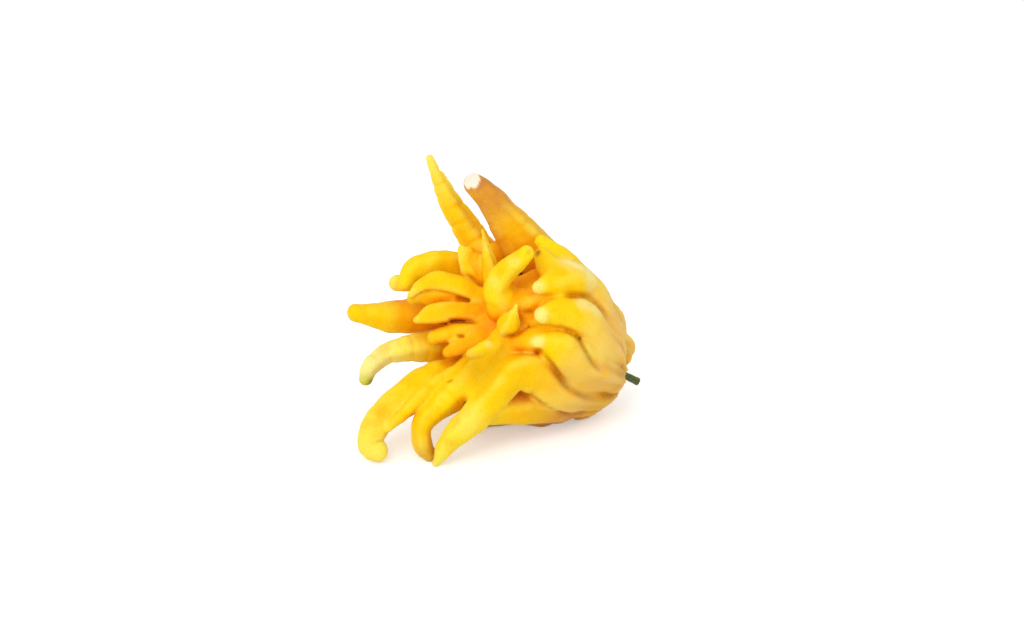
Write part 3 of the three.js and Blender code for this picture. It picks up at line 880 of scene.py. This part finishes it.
def rind_surface(grid):
    """The surface where the field is zero, as quads, without any hollow inside it."""
    volume = openvdb.FloatGrid(background=FIELD_FAR)
    volume.copyFromArray(grid.field)
    volume.transform = openvdb.createLinearTransform(voxelSize=grid.step)
    points, quads = volume.convertToQuads(isovalue=0.0)
    points = points.astype(float) + grid.low
    quads = quads.astype(int)
    label = connected(quads, len(points))
    outer = np.bincount(label).argmax()
    keep = label == outer
    number = np.cumsum(keep) - 1
    quads = number[quads[keep[quads[:, 0]]]]
    return points[keep], quads


def field_normals(grid, points):
    """The way that the field grows fastest, by differences to both sides."""
    reach = grid.step
    slopes = [
        grid.sample(grid.field, points + step) - grid.sample(grid.field, points - step)
        for step in np.eye(3) * reach
    ]
    return unit(np.stack(slopes, axis=1))


def crease_depth(grid, points, normals, reach):
    """How far the rind closes in above a point: 0 on an open surface, towards 1 in a slit."""
    clear = grid.sample(grid.field, points + normals * reach)
    return np.clip((reach - clear) / reach, 0.0, 1.0)


def thinness(grid, points, normals):
    """How thin the fruit is under a point: 0 over a broad body, towards 1 on a tip or an edge."""
    depth = -grid.sample(grid.field, points - normals * THIN_REACH)
    return np.clip((THIN_REACH - depth) / THIN_REACH, 0.0, 1.0)


def sky_share(grid, points, normals):
    """How much of the half-space above each point is open: rays in evenly spread directions,
    weighted by their slope, are stopped by the fruit."""
    number = np.arange(SKY_RAYS) + 0.5
    height = 1 - 2 * number / SKY_RAYS
    turn = number * np.pi * (3 - np.sqrt(5))
    flat = np.sqrt(1 - height ** 2)
    rays = np.stack([flat * np.cos(turn), flat * np.sin(turn), height], axis=1)
    solid = grid.field < -SKY_SOLID
    size = np.array(solid.shape)
    open_sum, weight_sum = np.zeros(len(points)), np.zeros(len(points))
    start = points + normals * SKY_START
    for ray in rays:
        slope = np.maximum(normals @ ray, 0)
        chosen = np.nonzero(slope > SKY_SLOPE)[0]
        free = np.ones(len(chosen), bool)
        for reach in SKY_PLACES:
            place = np.rint((start[chosen] + ray * reach - grid.low) / grid.step).astype(int)
            inside = ((place >= 0) & (place < size)).all(axis=1)
            place = np.clip(place, 0, size - 1)
            free &= ~(inside & solid[place[:, 0], place[:, 1], place[:, 2]])
        open_sum[chosen] += free * slope[chosen]
        weight_sum[chosen] += slope[chosen]
    return open_sum / weight_sum


def finger_tints(lines, points):
    """Each point's tint: every finger's own tint there, weighted by exp(-distance / reach),
    with the body's and the crown's as a floor. Ridge crests get a painted highlight towards pale lemon,
    and the grooves between ridges and the rings painted shade towards apricot."""
    along_axis, _ = axis_places(*points.T)
    crown = smooth_step(-5, 25, along_axis)[:, None]
    colour = (1 - crown) * PAINT["peach"] + crown * PAINT["apricot"]
    weight = np.full((len(points), 1), BODY_TINT_WEIGHT)
    colour = colour * weight
    for line in lines:
        near = near_points(points, line.points, line.radii.max() + TINT_MARGIN)
        x, y, z = points[near].T.astype(np.float32)
        squared, along = line.nearest(x, y, z, 0, len(line.points) - 1)
        radius = line.at(along, line.radii)
        gap = np.sqrt(squared) - radius
        here = np.exp(-np.maximum(gap + 1.0, 0) / TINT_REACH)[:, None]
        stops = np.array([PAINT[name] for name in FINISH[line.name][0].split()])
        knots = np.linspace(0, line.length, len(stops))
        own = np.stack([np.interp(along, knots, stops[:, i]) for i in range(3)], axis=1)
        ridge, dip = line.relief(x, y, z, along)
        raised = np.clip(ridge * radius - 1.5 * dip, -1, 1)[:, None]
        # Painted highlight on the ridge crests, painted shade in the grooves and rings.
        crest_highlight = 0.6 * raised * (PAINT["pale_lemon"] - own)
        groove_shade = -0.35 * raised * (PAINT["apricot"] - own)
        own += np.where(raised > 0, crest_highlight, groove_shade)
        colour[near] += own * here
        weight[near] += here
    return colour / weight


def blurred(values, faces, rounds):
    """Each point's value is averaged with its faces' other corners, the given times over."""
    corners = faces.ravel()
    count = np.bincount(corners, minlength=len(values))
    for _ in range(rounds):
        mean = np.repeat(values[faces].mean(axis=1), faces.shape[1])
        values = np.bincount(corners, mean, minlength=len(values)) / count
    return values


def tinted(colour, share, name):
    """The colour, taken the given share of the way to a tint."""
    return colour + share * (PAINT[name] - colour)


def filtered(colour, share, film):
    """The colour, with the given share of it multiplied by a film's."""
    return colour * (1 - share * (1 - film))


def rind_colours(grid, lines, points, faces, normals):
    """The rind's colour at each point: its finger's tint, with painted shade: oranger where the sky
    is hidden, browned in the slits and darker in the hollows, creases and folds' valleys; and painted
    highlights: lemon where the sky is open and paler on thin tips, partly their own paler rind. Then
    the marks, the green tip and the white pith. Also where the pith shows."""
    colour = finger_tints(lines, points)
    sky = sky_share(grid, points, normals)
    slit = blurred(crease_depth(grid, points, normals, SLIT_REACH), faces, 3)
    hollow = blurred(crease_depth(grid, points, normals, HOLLOW_REACH), faces, 3)
    # Painted shade: oranger where the sky is hidden.
    painted_sky_shade = smooth_step(0.25, 0.95, 1 - sky)[:, None]
    colour = filtered(colour, painted_sky_shade, SKY_SHADE_FILM)
    along_axis, _ = axis_places(*points.T)
    # Painted highlight: lemon where the sky is open, away from the stalk end.
    bright = smooth_step(0.55, 0.95, sky) * smooth_step(-5, 15, along_axis)
    colour = tinted(colour, 0.3 * bright[:, None], "lemon")
    # Painted shade in the hollows, the slits and the middle of the creases.
    colour = filtered(colour, smooth_step(0.15, 0.8, hollow)[:, None], HOLLOW_SHADE_FILM)
    colour = filtered(colour, smooth_step(0.45, 0.85, slit)[:, None], SLIT_SHADE_FILM)
    dark = blurred(crease_shade(points), faces, 1)[:, None]
    colour = filtered(colour, dark, CREASE_SHADE_FILM)
    # Painted shade in the valleys of the stalk's folds, and a peach tint on their crests.
    fold = np.clip(stalk_folds(*points.T), -1, 1)[:, None]
    colour = colour * (1 - np.maximum(fold, 0) * FOLD_SHADE_LOSS)
    colour = tinted(colour, 0.5 * np.maximum(-fold, 0), "peach")
    # Paler on thin tips and edges out of the painted sky shade: partly the rind's own paler tips,
    # partly a painted highlight.
    thin = thinness(grid, points, normals)
    pale = smooth_step(0.25, 0.8, thin)[:, None] * (1 - painted_sky_shade)
    colour = tinted(colour, 0.4 * pale, "pale_lemon")
    # The marks, among them painted highlights and painted shade.
    for centre, reach, name, strength in MARKS:
        gap = np.linalg.norm(points - np.array(centre), axis=1)
        mark = strength * smooth_step(reach, 0.2 * reach, gap)
        colour = tinted(colour, mark[:, None], name)
    height = (points - BREAK_POINT) @ unit(BREAK_FACING)
    radial = np.linalg.norm(points - BREAK_POINT, axis=1)
    facing = normals @ unit(BREAK_FACING)
    broken = smooth_step(-3.0, -1.6, height) * smooth_step(0.3, 0.6, facing)
    broken *= radial < BREAK_REACH
    ripples = sum(size * np.sin(points @ np.array(way)) for size, way in PITH_RIPPLES)
    inside = broken * smooth_step(*PITH_EDGE, radial + ripples)
    rim = (radial < RIM_REACH) * smooth_step(-4.5, -2.0, height)
    colour = tinted(colour, (0.6 * rim * (1 - inside))[:, None], "russet")
    return tinted(colour, inside[:, None], "pith"), inside


def store(mesh, name, kind, values):
    """Puts one value or colour for each vertex into the mesh."""
    layer = mesh.attributes.new(name, kind, "POINT")
    field = "color" if kind == "FLOAT_COLOR" else "value"
    layer.data.foreach_set(field, np.ascontiguousarray(values, dtype=np.float32).ravel())


def new_piece(name, points, faces, material):
    """A mesh object at the origin, unturned, from points in millimetres."""
    mesh = bpy.data.meshes.new(name)
    mesh.from_pydata((np.asarray(points) * MM).tolist(), [], list(faces))
    mesh.polygons.foreach_set("use_smooth", np.ones(len(mesh.polygons), bool))
    mesh.materials.append(material)
    mesh.validate()
    mesh.update()
    piece = bpy.data.objects.new(name, mesh)
    bpy.context.scene.collection.objects.link(piece)
    return piece


# ---------------------------------------------------------------------------
# Materials
# ---------------------------------------------------------------------------

class Nodes:
    """The node tree of a material or a world, with short ways to add and join nodes."""

    def __init__(self, holder, output):
        holder.use_nodes = True
        self.holder = holder
        self.tree = holder.node_tree
        self.tree.nodes.clear()
        self.output = self.add(output)

    def wire(self, socket, value):
        """Joins another node's output to an input, or sets the input to a value."""
        if isinstance(value, bpy.types.NodeSocket):
            self.tree.links.new(value, socket)
        else:
            socket.default_value = value

    def add(self, kind, inputs=None, **settings):
        node = self.tree.nodes.new(kind)
        for name, value in settings.items():
            setattr(node, name, value)
        for name, value in (inputs or {}).items():
            self.wire(node.inputs[name], value)
        return node

    def place(self):
        return self.add("ShaderNodeTexCoord").outputs["Object"]

    def attribute(self, name, output):
        return self.add("ShaderNodeAttribute", attribute_name=name).outputs[output]

    def noise(self, place, scale, detail, roughness=0.5):
        """Soft noise from 0 to 1; the scale counts its patches in a metre."""
        return self.add("ShaderNodeTexNoise", {
            "Vector": place, "Scale": scale, "Detail": detail,
            "Roughness": roughness}).outputs["Fac"]

    def ramp(self, value, low, high, start=0.0, end=1.0):
        """The start at the low value and below it, the end at the high one, smooth between."""
        node = self.add("ShaderNodeMapRange", {
            "Value": value, "From Min": low, "From Max": high,
            "To Min": start, "To Max": end}, interpolation_type="SMOOTHSTEP")
        return node.outputs["Result"]

    def mix(self, share, first, second):
        """The first colour, the given share of the way to the second."""
        node = self.add("ShaderNodeMix", data_type="RGBA")
        for name, value in (("Factor", share), ("A", first), ("B", second)):
            kind = "VALUE" if name == "Factor" else "RGBA"
            self.wire(next(s for s in node.inputs if s.name == name and s.type == kind), value)
        return next(s for s in node.outputs if s.type == "RGBA")

    def math(self, operation, first, second):
        return self.add(
            "ShaderNodeMath", {0: first, 1: second}, operation=operation).outputs[0]

    def coat(self, colour, roughness, bump, more=None):
        """The surface: a colour, a roughness and a bump (its height, strength and depth)."""
        height, strength, depth = bump
        relief = self.add("ShaderNodeBump", {
            "Height": height, "Strength": strength, "Distance": depth})
        inputs = {"Base Color": colour, "Roughness": roughness, **(more or {})}
        inputs["Normal"] = relief.outputs["Normal"]
        return self.finish(self.add("ShaderNodeBsdfPrincipled", inputs))

    def finish(self, shader):
        self.tree.links.new(shader.outputs[0], self.output.inputs["Surface"])
        return self.holder


def material_nodes(name):
    return Nodes(bpy.data.materials.new(name), "ShaderNodeOutputMaterial")


def shade(red, green, blue):
    """A screen colour as the four values that a shader's colour input takes."""
    return (*linear((red, green, blue)), 1)


def rind_material(settings):
    """Citrus rind: the painted colour, mottled, with oil glands as tiny pits, a few russet
    scuffs, and a satin wax gloss. Where the pith shows, the painted colour is taken plain, without the
    mottle, the gland dots and the scuffs."""
    nodes = material_nodes("rind")
    place = nodes.place()
    # The painted colour carries the rind's painted highlights and painted shade.
    paint = nodes.attribute("rind_colour", "Color")
    pith = nodes.attribute("pith", "Fac")
    mottle = nodes.noise(place, 85.0, 4.0, 0.55)
    fine = nodes.noise(place, 420.0, 3.0, 0.6)
    glands = nodes.add("ShaderNodeTexVoronoi", {
        "Vector": place, "Scale": 1.0 / settings.gland_gap, "Smoothness": 0.6,
        "Randomness": 0.85}, feature="SMOOTH_F1").outputs["Distance"]
    amber = nodes.mix(nodes.ramp(mottle, 0.48, 0.68, 0.0, 0.36), paint, shade(250, 180, 4))
    pale = nodes.mix(nodes.ramp(mottle, 0.30, 0.46, 0.10, 0.0), amber, shade(254, 232, 110))
    dots = nodes.mix(nodes.ramp(glands, 0.12, 0.40, 0.16, 0.0), pale, shade(244, 176, 6))
    rubbed = nodes.ramp(nodes.noise(place, 60.0, 6.0, 0.72), 0.665, 0.74, 0.0, 0.6)
    scuffs = nodes.math("MULTIPLY", rubbed, nodes.ramp(fine, 0.4, 0.6))
    worn = nodes.mix(scuffs, dots, shade(176, 104, 40))
    gland_height = nodes.ramp(glands, 0.05, 0.55)
    height = nodes.math("ADD", nodes.math("MULTIPLY", fine, 0.5), gland_height)
    return nodes.coat(
        nodes.mix(pith, worn, paint), nodes.ramp(fine, 0.3, 0.7, 0.36, 0.52),
        (height, 0.55, settings.gland_depth), {
            "Specular IOR Level": 0.13,
            "Specular Tint": (1.0, 0.86, 0.35, 1.0),
            "Subsurface Weight": 0.08,
            "Subsurface Radius": (1.0, 0.65, 0.15),
            "Subsurface Scale": 0.003,
        })


def bark_material():
    """Green stalk bark: dark green, streaked lengthwise, with pale specks and a pale cut end."""
    nodes = material_nodes("bark")
    streak = nodes.attribute("streak", "Fac")
    cloud = nodes.noise(nodes.place(), 500.0, 4.0)
    grain = nodes.math("ADD", streak, nodes.ramp(cloud, 0.3, 0.7, -0.25, 0.25))
    green = nodes.mix(nodes.ramp(grain, 0.2, 0.9), shade(54, 70, 26), shade(108, 120, 52))
    colour = nodes.mix(nodes.attribute("cut", "Fac"), green, shade(188, 178, 120))
    return nodes.coat(colour, nodes.ramp(cloud, 0.3, 0.7, 0.55, 0.8), (grain, 0.5, 0.0003))


def button_material():
    """The dry button: olive brown, darker and paler in soft patches."""
    nodes = material_nodes("button")
    cloud = nodes.noise(nodes.place(), 350.0, 5.0)
    colour = nodes.mix(nodes.ramp(cloud, 0.35, 0.7), shade(84, 86, 32), shade(140, 128, 58))
    return nodes.coat(colour, nodes.ramp(cloud, 0.3, 0.7, 0.6, 0.85), (cloud, 0.5, 0.0004))


def floor_material():
    """A pale floor that a camera sees a little brighter than the lamps make it, so that it
    meets the white background and still keeps the shadow."""
    nodes = material_nodes("studio_floor")
    path = nodes.add("ShaderNodeLightPath")
    seen = nodes.math("MAXIMUM", path.outputs["Is Camera Ray"], path.outputs["Is Glossy Ray"])
    cloth = nodes.add("ShaderNodeBsdfDiffuse", {"Color": (0.86, 0.86, 0.86, 1)})
    glow = nodes.add("ShaderNodeEmission", {
        "Color": WHITE, "Strength": nodes.math("MULTIPLY", seen, 0.38)})
    return nodes.finish(nodes.add(
        "ShaderNodeAddShader", {0: cloth.outputs[0], 1: glow.outputs[0]}))


def studio_world(strength):
    """Even white light from all round, before a background that the camera sees as white."""
    nodes = Nodes(bpy.data.worlds.new("studio"), "ShaderNodeOutputWorld")
    path = nodes.add("ShaderNodeLightPath")
    light = nodes.add("ShaderNodeBackground", {"Color": WHITE, "Strength": strength})
    white = nodes.add("ShaderNodeBackground", {"Color": WHITE, "Strength": 1.0})
    return nodes.finish(nodes.add("ShaderNodeMixShader", {
        0: path.outputs["Is Camera Ray"], 1: light.outputs[0], 2: white.outputs[0]}))


# ---------------------------------------------------------------------------
# Sizes and finishes that a user would change
# ---------------------------------------------------------------------------

class CitronRindSettings(bpy.types.PropertyGroup):
    grain: bpy.props.FloatProperty(
        name="Grain", description="Spacing of the points that the rind is worked out on",
        default=0.00128, min=0.0008, max=0.003, unit="LENGTH", precision=4)
    hills: bpy.props.FloatProperty(
        name="Hills", description="Height of the soft unevenness of the rind",
        default=0.0003, min=0.0, max=0.002, unit="LENGTH", precision=5)
    folds: bpy.props.FloatProperty(
        name="Folds", description="Height of the folds that run in to the stalk",
        default=0.0019, min=0.0, max=0.003, unit="LENGTH", precision=5)
    trim: bpy.props.FloatProperty(
        name="Trim", description="How far the rind stays inside the solids",
        default=0.00042, min=-0.001, max=0.002, unit="LENGTH", precision=5)
    break_depth: bpy.props.FloatProperty(
        name="Break", description="How far in the broken end of the thick finger starts",
        default=0.0, min=-0.005, max=0.005, unit="LENGTH", precision=4)
    gland_gap: bpy.props.FloatProperty(
        name="Gland spacing", description="Distance between the oil glands",
        default=0.0015, min=0.0005, max=0.005, unit="LENGTH", precision=4)
    gland_depth: bpy.props.FloatProperty(
        name="Gland depth", description="Depth of the pits over the oil glands",
        default=0.0003, min=0.0, max=0.001, unit="LENGTH", precision=5)


class CitronStalkSettings(bpy.types.PropertyGroup):
    radius: bpy.props.FloatProperty(
        name="Stalk radius", description="Radius of the stalk half way along",
        default=STALK_RADIUS * MM, min=0.001, max=0.003, unit="LENGTH", precision=4)
    button_radius: bpy.props.FloatProperty(
        name="Button radius", description="Radius of the button at the foot of the stalk",
        default=BUTTON_RADIUS * MM, min=0.003, max=0.0055, unit="LENGTH", precision=4)


class CitronStageSettings(bpy.types.PropertyGroup):
    azimuth: bpy.props.FloatProperty(
        name="Camera azimuth", description="Direction that the camera looks from",
        default=radians(-15), subtype="ANGLE")
    elevation: bpy.props.FloatProperty(
        name="Camera elevation", description="Height of the camera above level",
        default=radians(25), subtype="ANGLE")
    distance: bpy.props.FloatProperty(
        name="Camera distance", description="From the camera to the point that it looks at",
        default=1.1, min=0.3, unit="LENGTH")
    target: bpy.props.FloatVectorProperty(
        name="Camera target", description="The point that the camera looks at",
        default=(-0.03666, 0.0214, 0.07398), subtype="XYZ")
    lens: bpy.props.FloatProperty(
        name="Lens", description="Focal length on a sensor 36 mm wide",
        default=55.25, min=10)
    key_power: bpy.props.FloatProperty(
        name="Key power", description="Power of the large lamp at the upper left",
        default=7.5, min=0, unit="POWER")
    fill_power: bpy.props.FloatProperty(
        name="Fill power", description="Power of the lamp on the right",
        default=1.2, min=0, unit="POWER")
    sky: bpy.props.FloatProperty(
        name="Sky", description="Strength of the even light from all round",
        default=0.77, min=0)


# ---------------------------------------------------------------------------
# Operators
# ---------------------------------------------------------------------------

class CITRON_OT_fruit(bpy.types.Operator):
    """Make the fruit: the ribbed body and all its fingers, grown as one"""
    bl_idname = "citron.make_fruit"
    bl_label = "Make fruit"

    def execute(self, context):
        settings = context.scene.citron_rind
        lines = [Line(name) for name in FINGERS]
        grid = fruit_grid(settings, lines)
        points, quads = rind_surface(grid)
        normals = field_normals(grid, points)
        colour, pith = rind_colours(grid, lines, points, quads, normals)
        points[:, 2] = np.maximum(points[:, 2], 0.0)
        fruit = new_piece("fruit_rind", points, quads.tolist(), rind_material(settings))
        alpha = np.ones((len(points), 1))
        # The rind's colour, with its painted highlights and painted shade.
        store(fruit.data, "rind_colour", "FLOAT_COLOR", np.hstack([colour, alpha]))
        store(fruit.data, "pith", "FLOAT", pith)
        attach(fruit, "root")
        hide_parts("fruit")
        return {"FINISHED"}


def turned(profile, sides, wobble):
    """A surface of revolution about the fruit's axis: the profile's rows (distance out from
    the stalk end, radius), carried round in a circle whose radius is scaled by wobble(angle,
    distance). Both ends are closed by a single point."""
    profile = np.asarray(profile, float)
    angle = np.linspace(0, 2 * np.pi, sides, endpoint=False)
    ring = profile[:, None, 1] * wobble(angle[None, :], profile[:, None, 0])
    out = np.broadcast_to(profile[:, None, 0], ring.shape)
    points = (
        BODY_CENTRE
        - out[..., None] * AXIS
        + (ring * np.cos(angle))[..., None] * TOP_SIDE
        + (ring * np.sin(angle))[..., None] * NEAR_SIDE
    )
    rows, count = ring.shape
    grid = np.arange(rows * count).reshape(rows, count)
    after = np.roll(grid, -1, axis=1)
    side = np.stack([grid[:-1], grid[1:], after[1:], after[:-1]], axis=-1).reshape(-1, 4)
    start, end = rows * count, rows * count + 1
    first = np.stack([np.full(count, start), grid[0], after[0]], axis=1)
    last = np.stack([np.full(count, end), after[-1], grid[-1]], axis=1)
    poles = BODY_CENTRE - np.array([[profile[0, 0]], [profile[-1, 0]]]) * AXIS
    faces = side.tolist() + first.tolist() + last.tolist()
    return np.vstack([points.reshape(-1, 3), poles]), faces, angle


class CITRON_OT_button(bpy.types.Operator):
    """Make the button: the five-lobed dry calyx at the foot of the stalk"""
    bl_idname = "citron.make_button"
    bl_label = "Make button"

    def execute(self, context):
        radius = context.scene.citron_stalk.button_radius / MM
        share = np.linspace(0, 1, 13)
        height = BUTTON_LOW + 0.1 + (BUTTON_HEIGHT - 0.2) * share
        profile = np.stack([height, radius * np.sqrt(1 - 0.62 * share ** 2.2)], axis=1)
        profile = np.vstack([[profile[0, 0], radius * 0.5], profile,
                             [profile[-1, 0], radius * 0.3]])

        def lobes(angle, out):
            lobe = 0.5 + 0.5 * np.cos(5 * angle)
            return 1 - 0.14 * (1 - lobe) ** 2 + 0 * out

        points, faces, _ = turned(profile, 60, lobes)
        button = new_piece("button", points, faces, button_material())
        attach(button, "root")
        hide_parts("calyx")
        return {"FINISHED"}


class CITRON_OT_stalk(bpy.types.Operator):
    """Make the stalk: a ridged green twig, flared at the foot and cut square at the end"""
    bl_idname = "citron.make_stalk"
    bl_label = "Make stalk"

    def execute(self, context):
        radius = context.scene.citron_stalk.radius / MM
        share = np.linspace(0, 1, 41)
        out = STALK_LOW + (STALK_END - STALK_LOW) * share
        width = radius * (0.93 + 0.14 * np.exp(-share * 9) + 0.10 * share ** 4)
        rim = [[STALK_LOW, radius * 0.6]]
        end = [[STALK_END + 0.15, width[-1] * 0.93], [STALK_END + 0.05, width[-1] * 0.55],
               [STALK_END + 0.2, width[-1] * 0.25]]
        profile = np.vstack([rim, np.stack([out, width], axis=1), end])

        def ridges(angle, place):
            wave = 0.03 * np.cos(5 * angle + 0.04 * place) + 0.02 * np.cos(9 * angle - 1)
            return 1 + wave - 0.02 * np.sin(place * 0.9)

        points, faces, angle = turned(profile, 64, ridges)
        stalk = new_piece("stalk_twig", points, faces, bark_material())
        rows = len(profile)
        streak = np.tile(0.5 + 0.3 * np.cos(9 * angle) + 0.2 * np.cos(23 * angle), rows)
        cut = np.repeat(np.arange(rows) >= rows - 3, len(angle)).astype(float)
        store(stalk.data, "streak", "FLOAT", np.append(streak, [0.5, 0.5]))
        store(stalk.data, "cut", "FLOAT", np.append(cut, [0.0, 1.0]))
        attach(stalk, "root")
        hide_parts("stalk")
        return {"FINISHED"}


def area_lamp(name, power, place, target, width):
    """A square lamp at a place, turned to face a target, in metres."""
    data = bpy.data.lights.new(name, "AREA")
    data.energy = power
    data.size = width
    lamp = bpy.data.objects.new(name, data)
    lamp.location = place
    lamp.rotation_euler = (Vector(target) - Vector(place)).to_track_quat("-Z", "Y").to_euler()
    bpy.context.scene.collection.objects.link(lamp)


class CITRON_OT_stage(bpy.types.Operator):
    """Make the stage: the pale floor, the soft studio light and the camera"""
    bl_idname = "citron.make_stage"
    bl_label = "Make stage"

    def execute(self, context):
        settings = context.scene.citron_stage
        reach = FLOOR_REACH
        corners = [(-reach, -reach, 0), (reach, -reach, 0), (reach, reach, 0), (-reach, reach, 0)]
        mesh = bpy.data.meshes.new("studio_floor")
        mesh.from_pydata(corners, [], [(0, 1, 2, 3)])
        mesh.materials.append(floor_material())
        floor = bpy.data.objects.new("studio_floor", mesh)
        context.scene.collection.objects.link(floor)

        context.scene.world = studio_world(settings.sky)

        target = Vector(settings.target)
        area_lamp("key", settings.key_power, KEY_PLACE, target, LAMP_WIDTH)
        area_lamp("fill", settings.fill_power, FILL_PLACE, target, LAMP_WIDTH)

        camera = bpy.data.cameras.new("camera")
        camera.sensor_width = SENSOR_WIDTH
        camera.lens = settings.lens
        camera.clip_start, camera.clip_end = CLIP
        view = bpy.data.objects.new("camera", camera)
        level = cos(settings.elevation)
        back = Vector((
            sin(settings.azimuth) * level, -cos(settings.azimuth) * level,
            sin(settings.elevation)))
        turn = (-back).to_track_quat("-Z", "Y").to_matrix().to_4x4()
        view.matrix_world = Matrix.Translation(target + settings.distance * back) @ turn
        context.scene.collection.objects.link(view)
        context.scene.camera = view
        context.scene.view_settings.view_transform = "Standard"
        return {"FINISHED"}


class CITRON_PT_panel(bpy.types.Panel):
    """The citron's pieces and settings"""
    bl_label = "Citron"
    bl_idname = "CITRON_PT_panel"
    bl_space_type = "VIEW_3D"
    bl_region_type = "UI"
    bl_category = "Citron"

    def draw(self, context):
        column = self.layout.column()
        for operator in OPERATORS:
            column.operator(operator.bl_idname)
        for group in (context.scene.citron_rind, context.scene.citron_stalk,
                      context.scene.citron_stage):
            box = column.box()
            for name in group.bl_rna.properties.keys():
                if name not in {"rna_type", "name"}:
                    box.prop(group, name)


OPERATORS = (CITRON_OT_stage, CITRON_OT_fruit, CITRON_OT_button, CITRON_OT_stalk)
SETTINGS = {
    "citron_rind": CitronRindSettings,
    "citron_stalk": CitronStalkSettings,
    "citron_stage": CitronStageSettings,
}


def register():
    for group in SETTINGS.values():
        bpy.utils.register_class(group)
    for item in (*OPERATORS, CITRON_PT_panel):
        bpy.utils.register_class(item)
    for name, group in SETTINGS.items():
        setattr(bpy.types.Scene, name, bpy.props.PointerProperty(type=group))


def unregister():
    for name in SETTINGS:
        delattr(bpy.types.Scene, name)
    for item in (CITRON_PT_panel, *reversed(OPERATORS), *SETTINGS.values()):
        bpy.utils.unregister_class(item)


def main():
    register()
    bpy.ops.citron.make_stage()
    bpy.ops.citron.make_fruit()
    bpy.ops.citron.make_button()
    bpy.ops.citron.make_stalk()


if __name__ == "__main__":
    main()
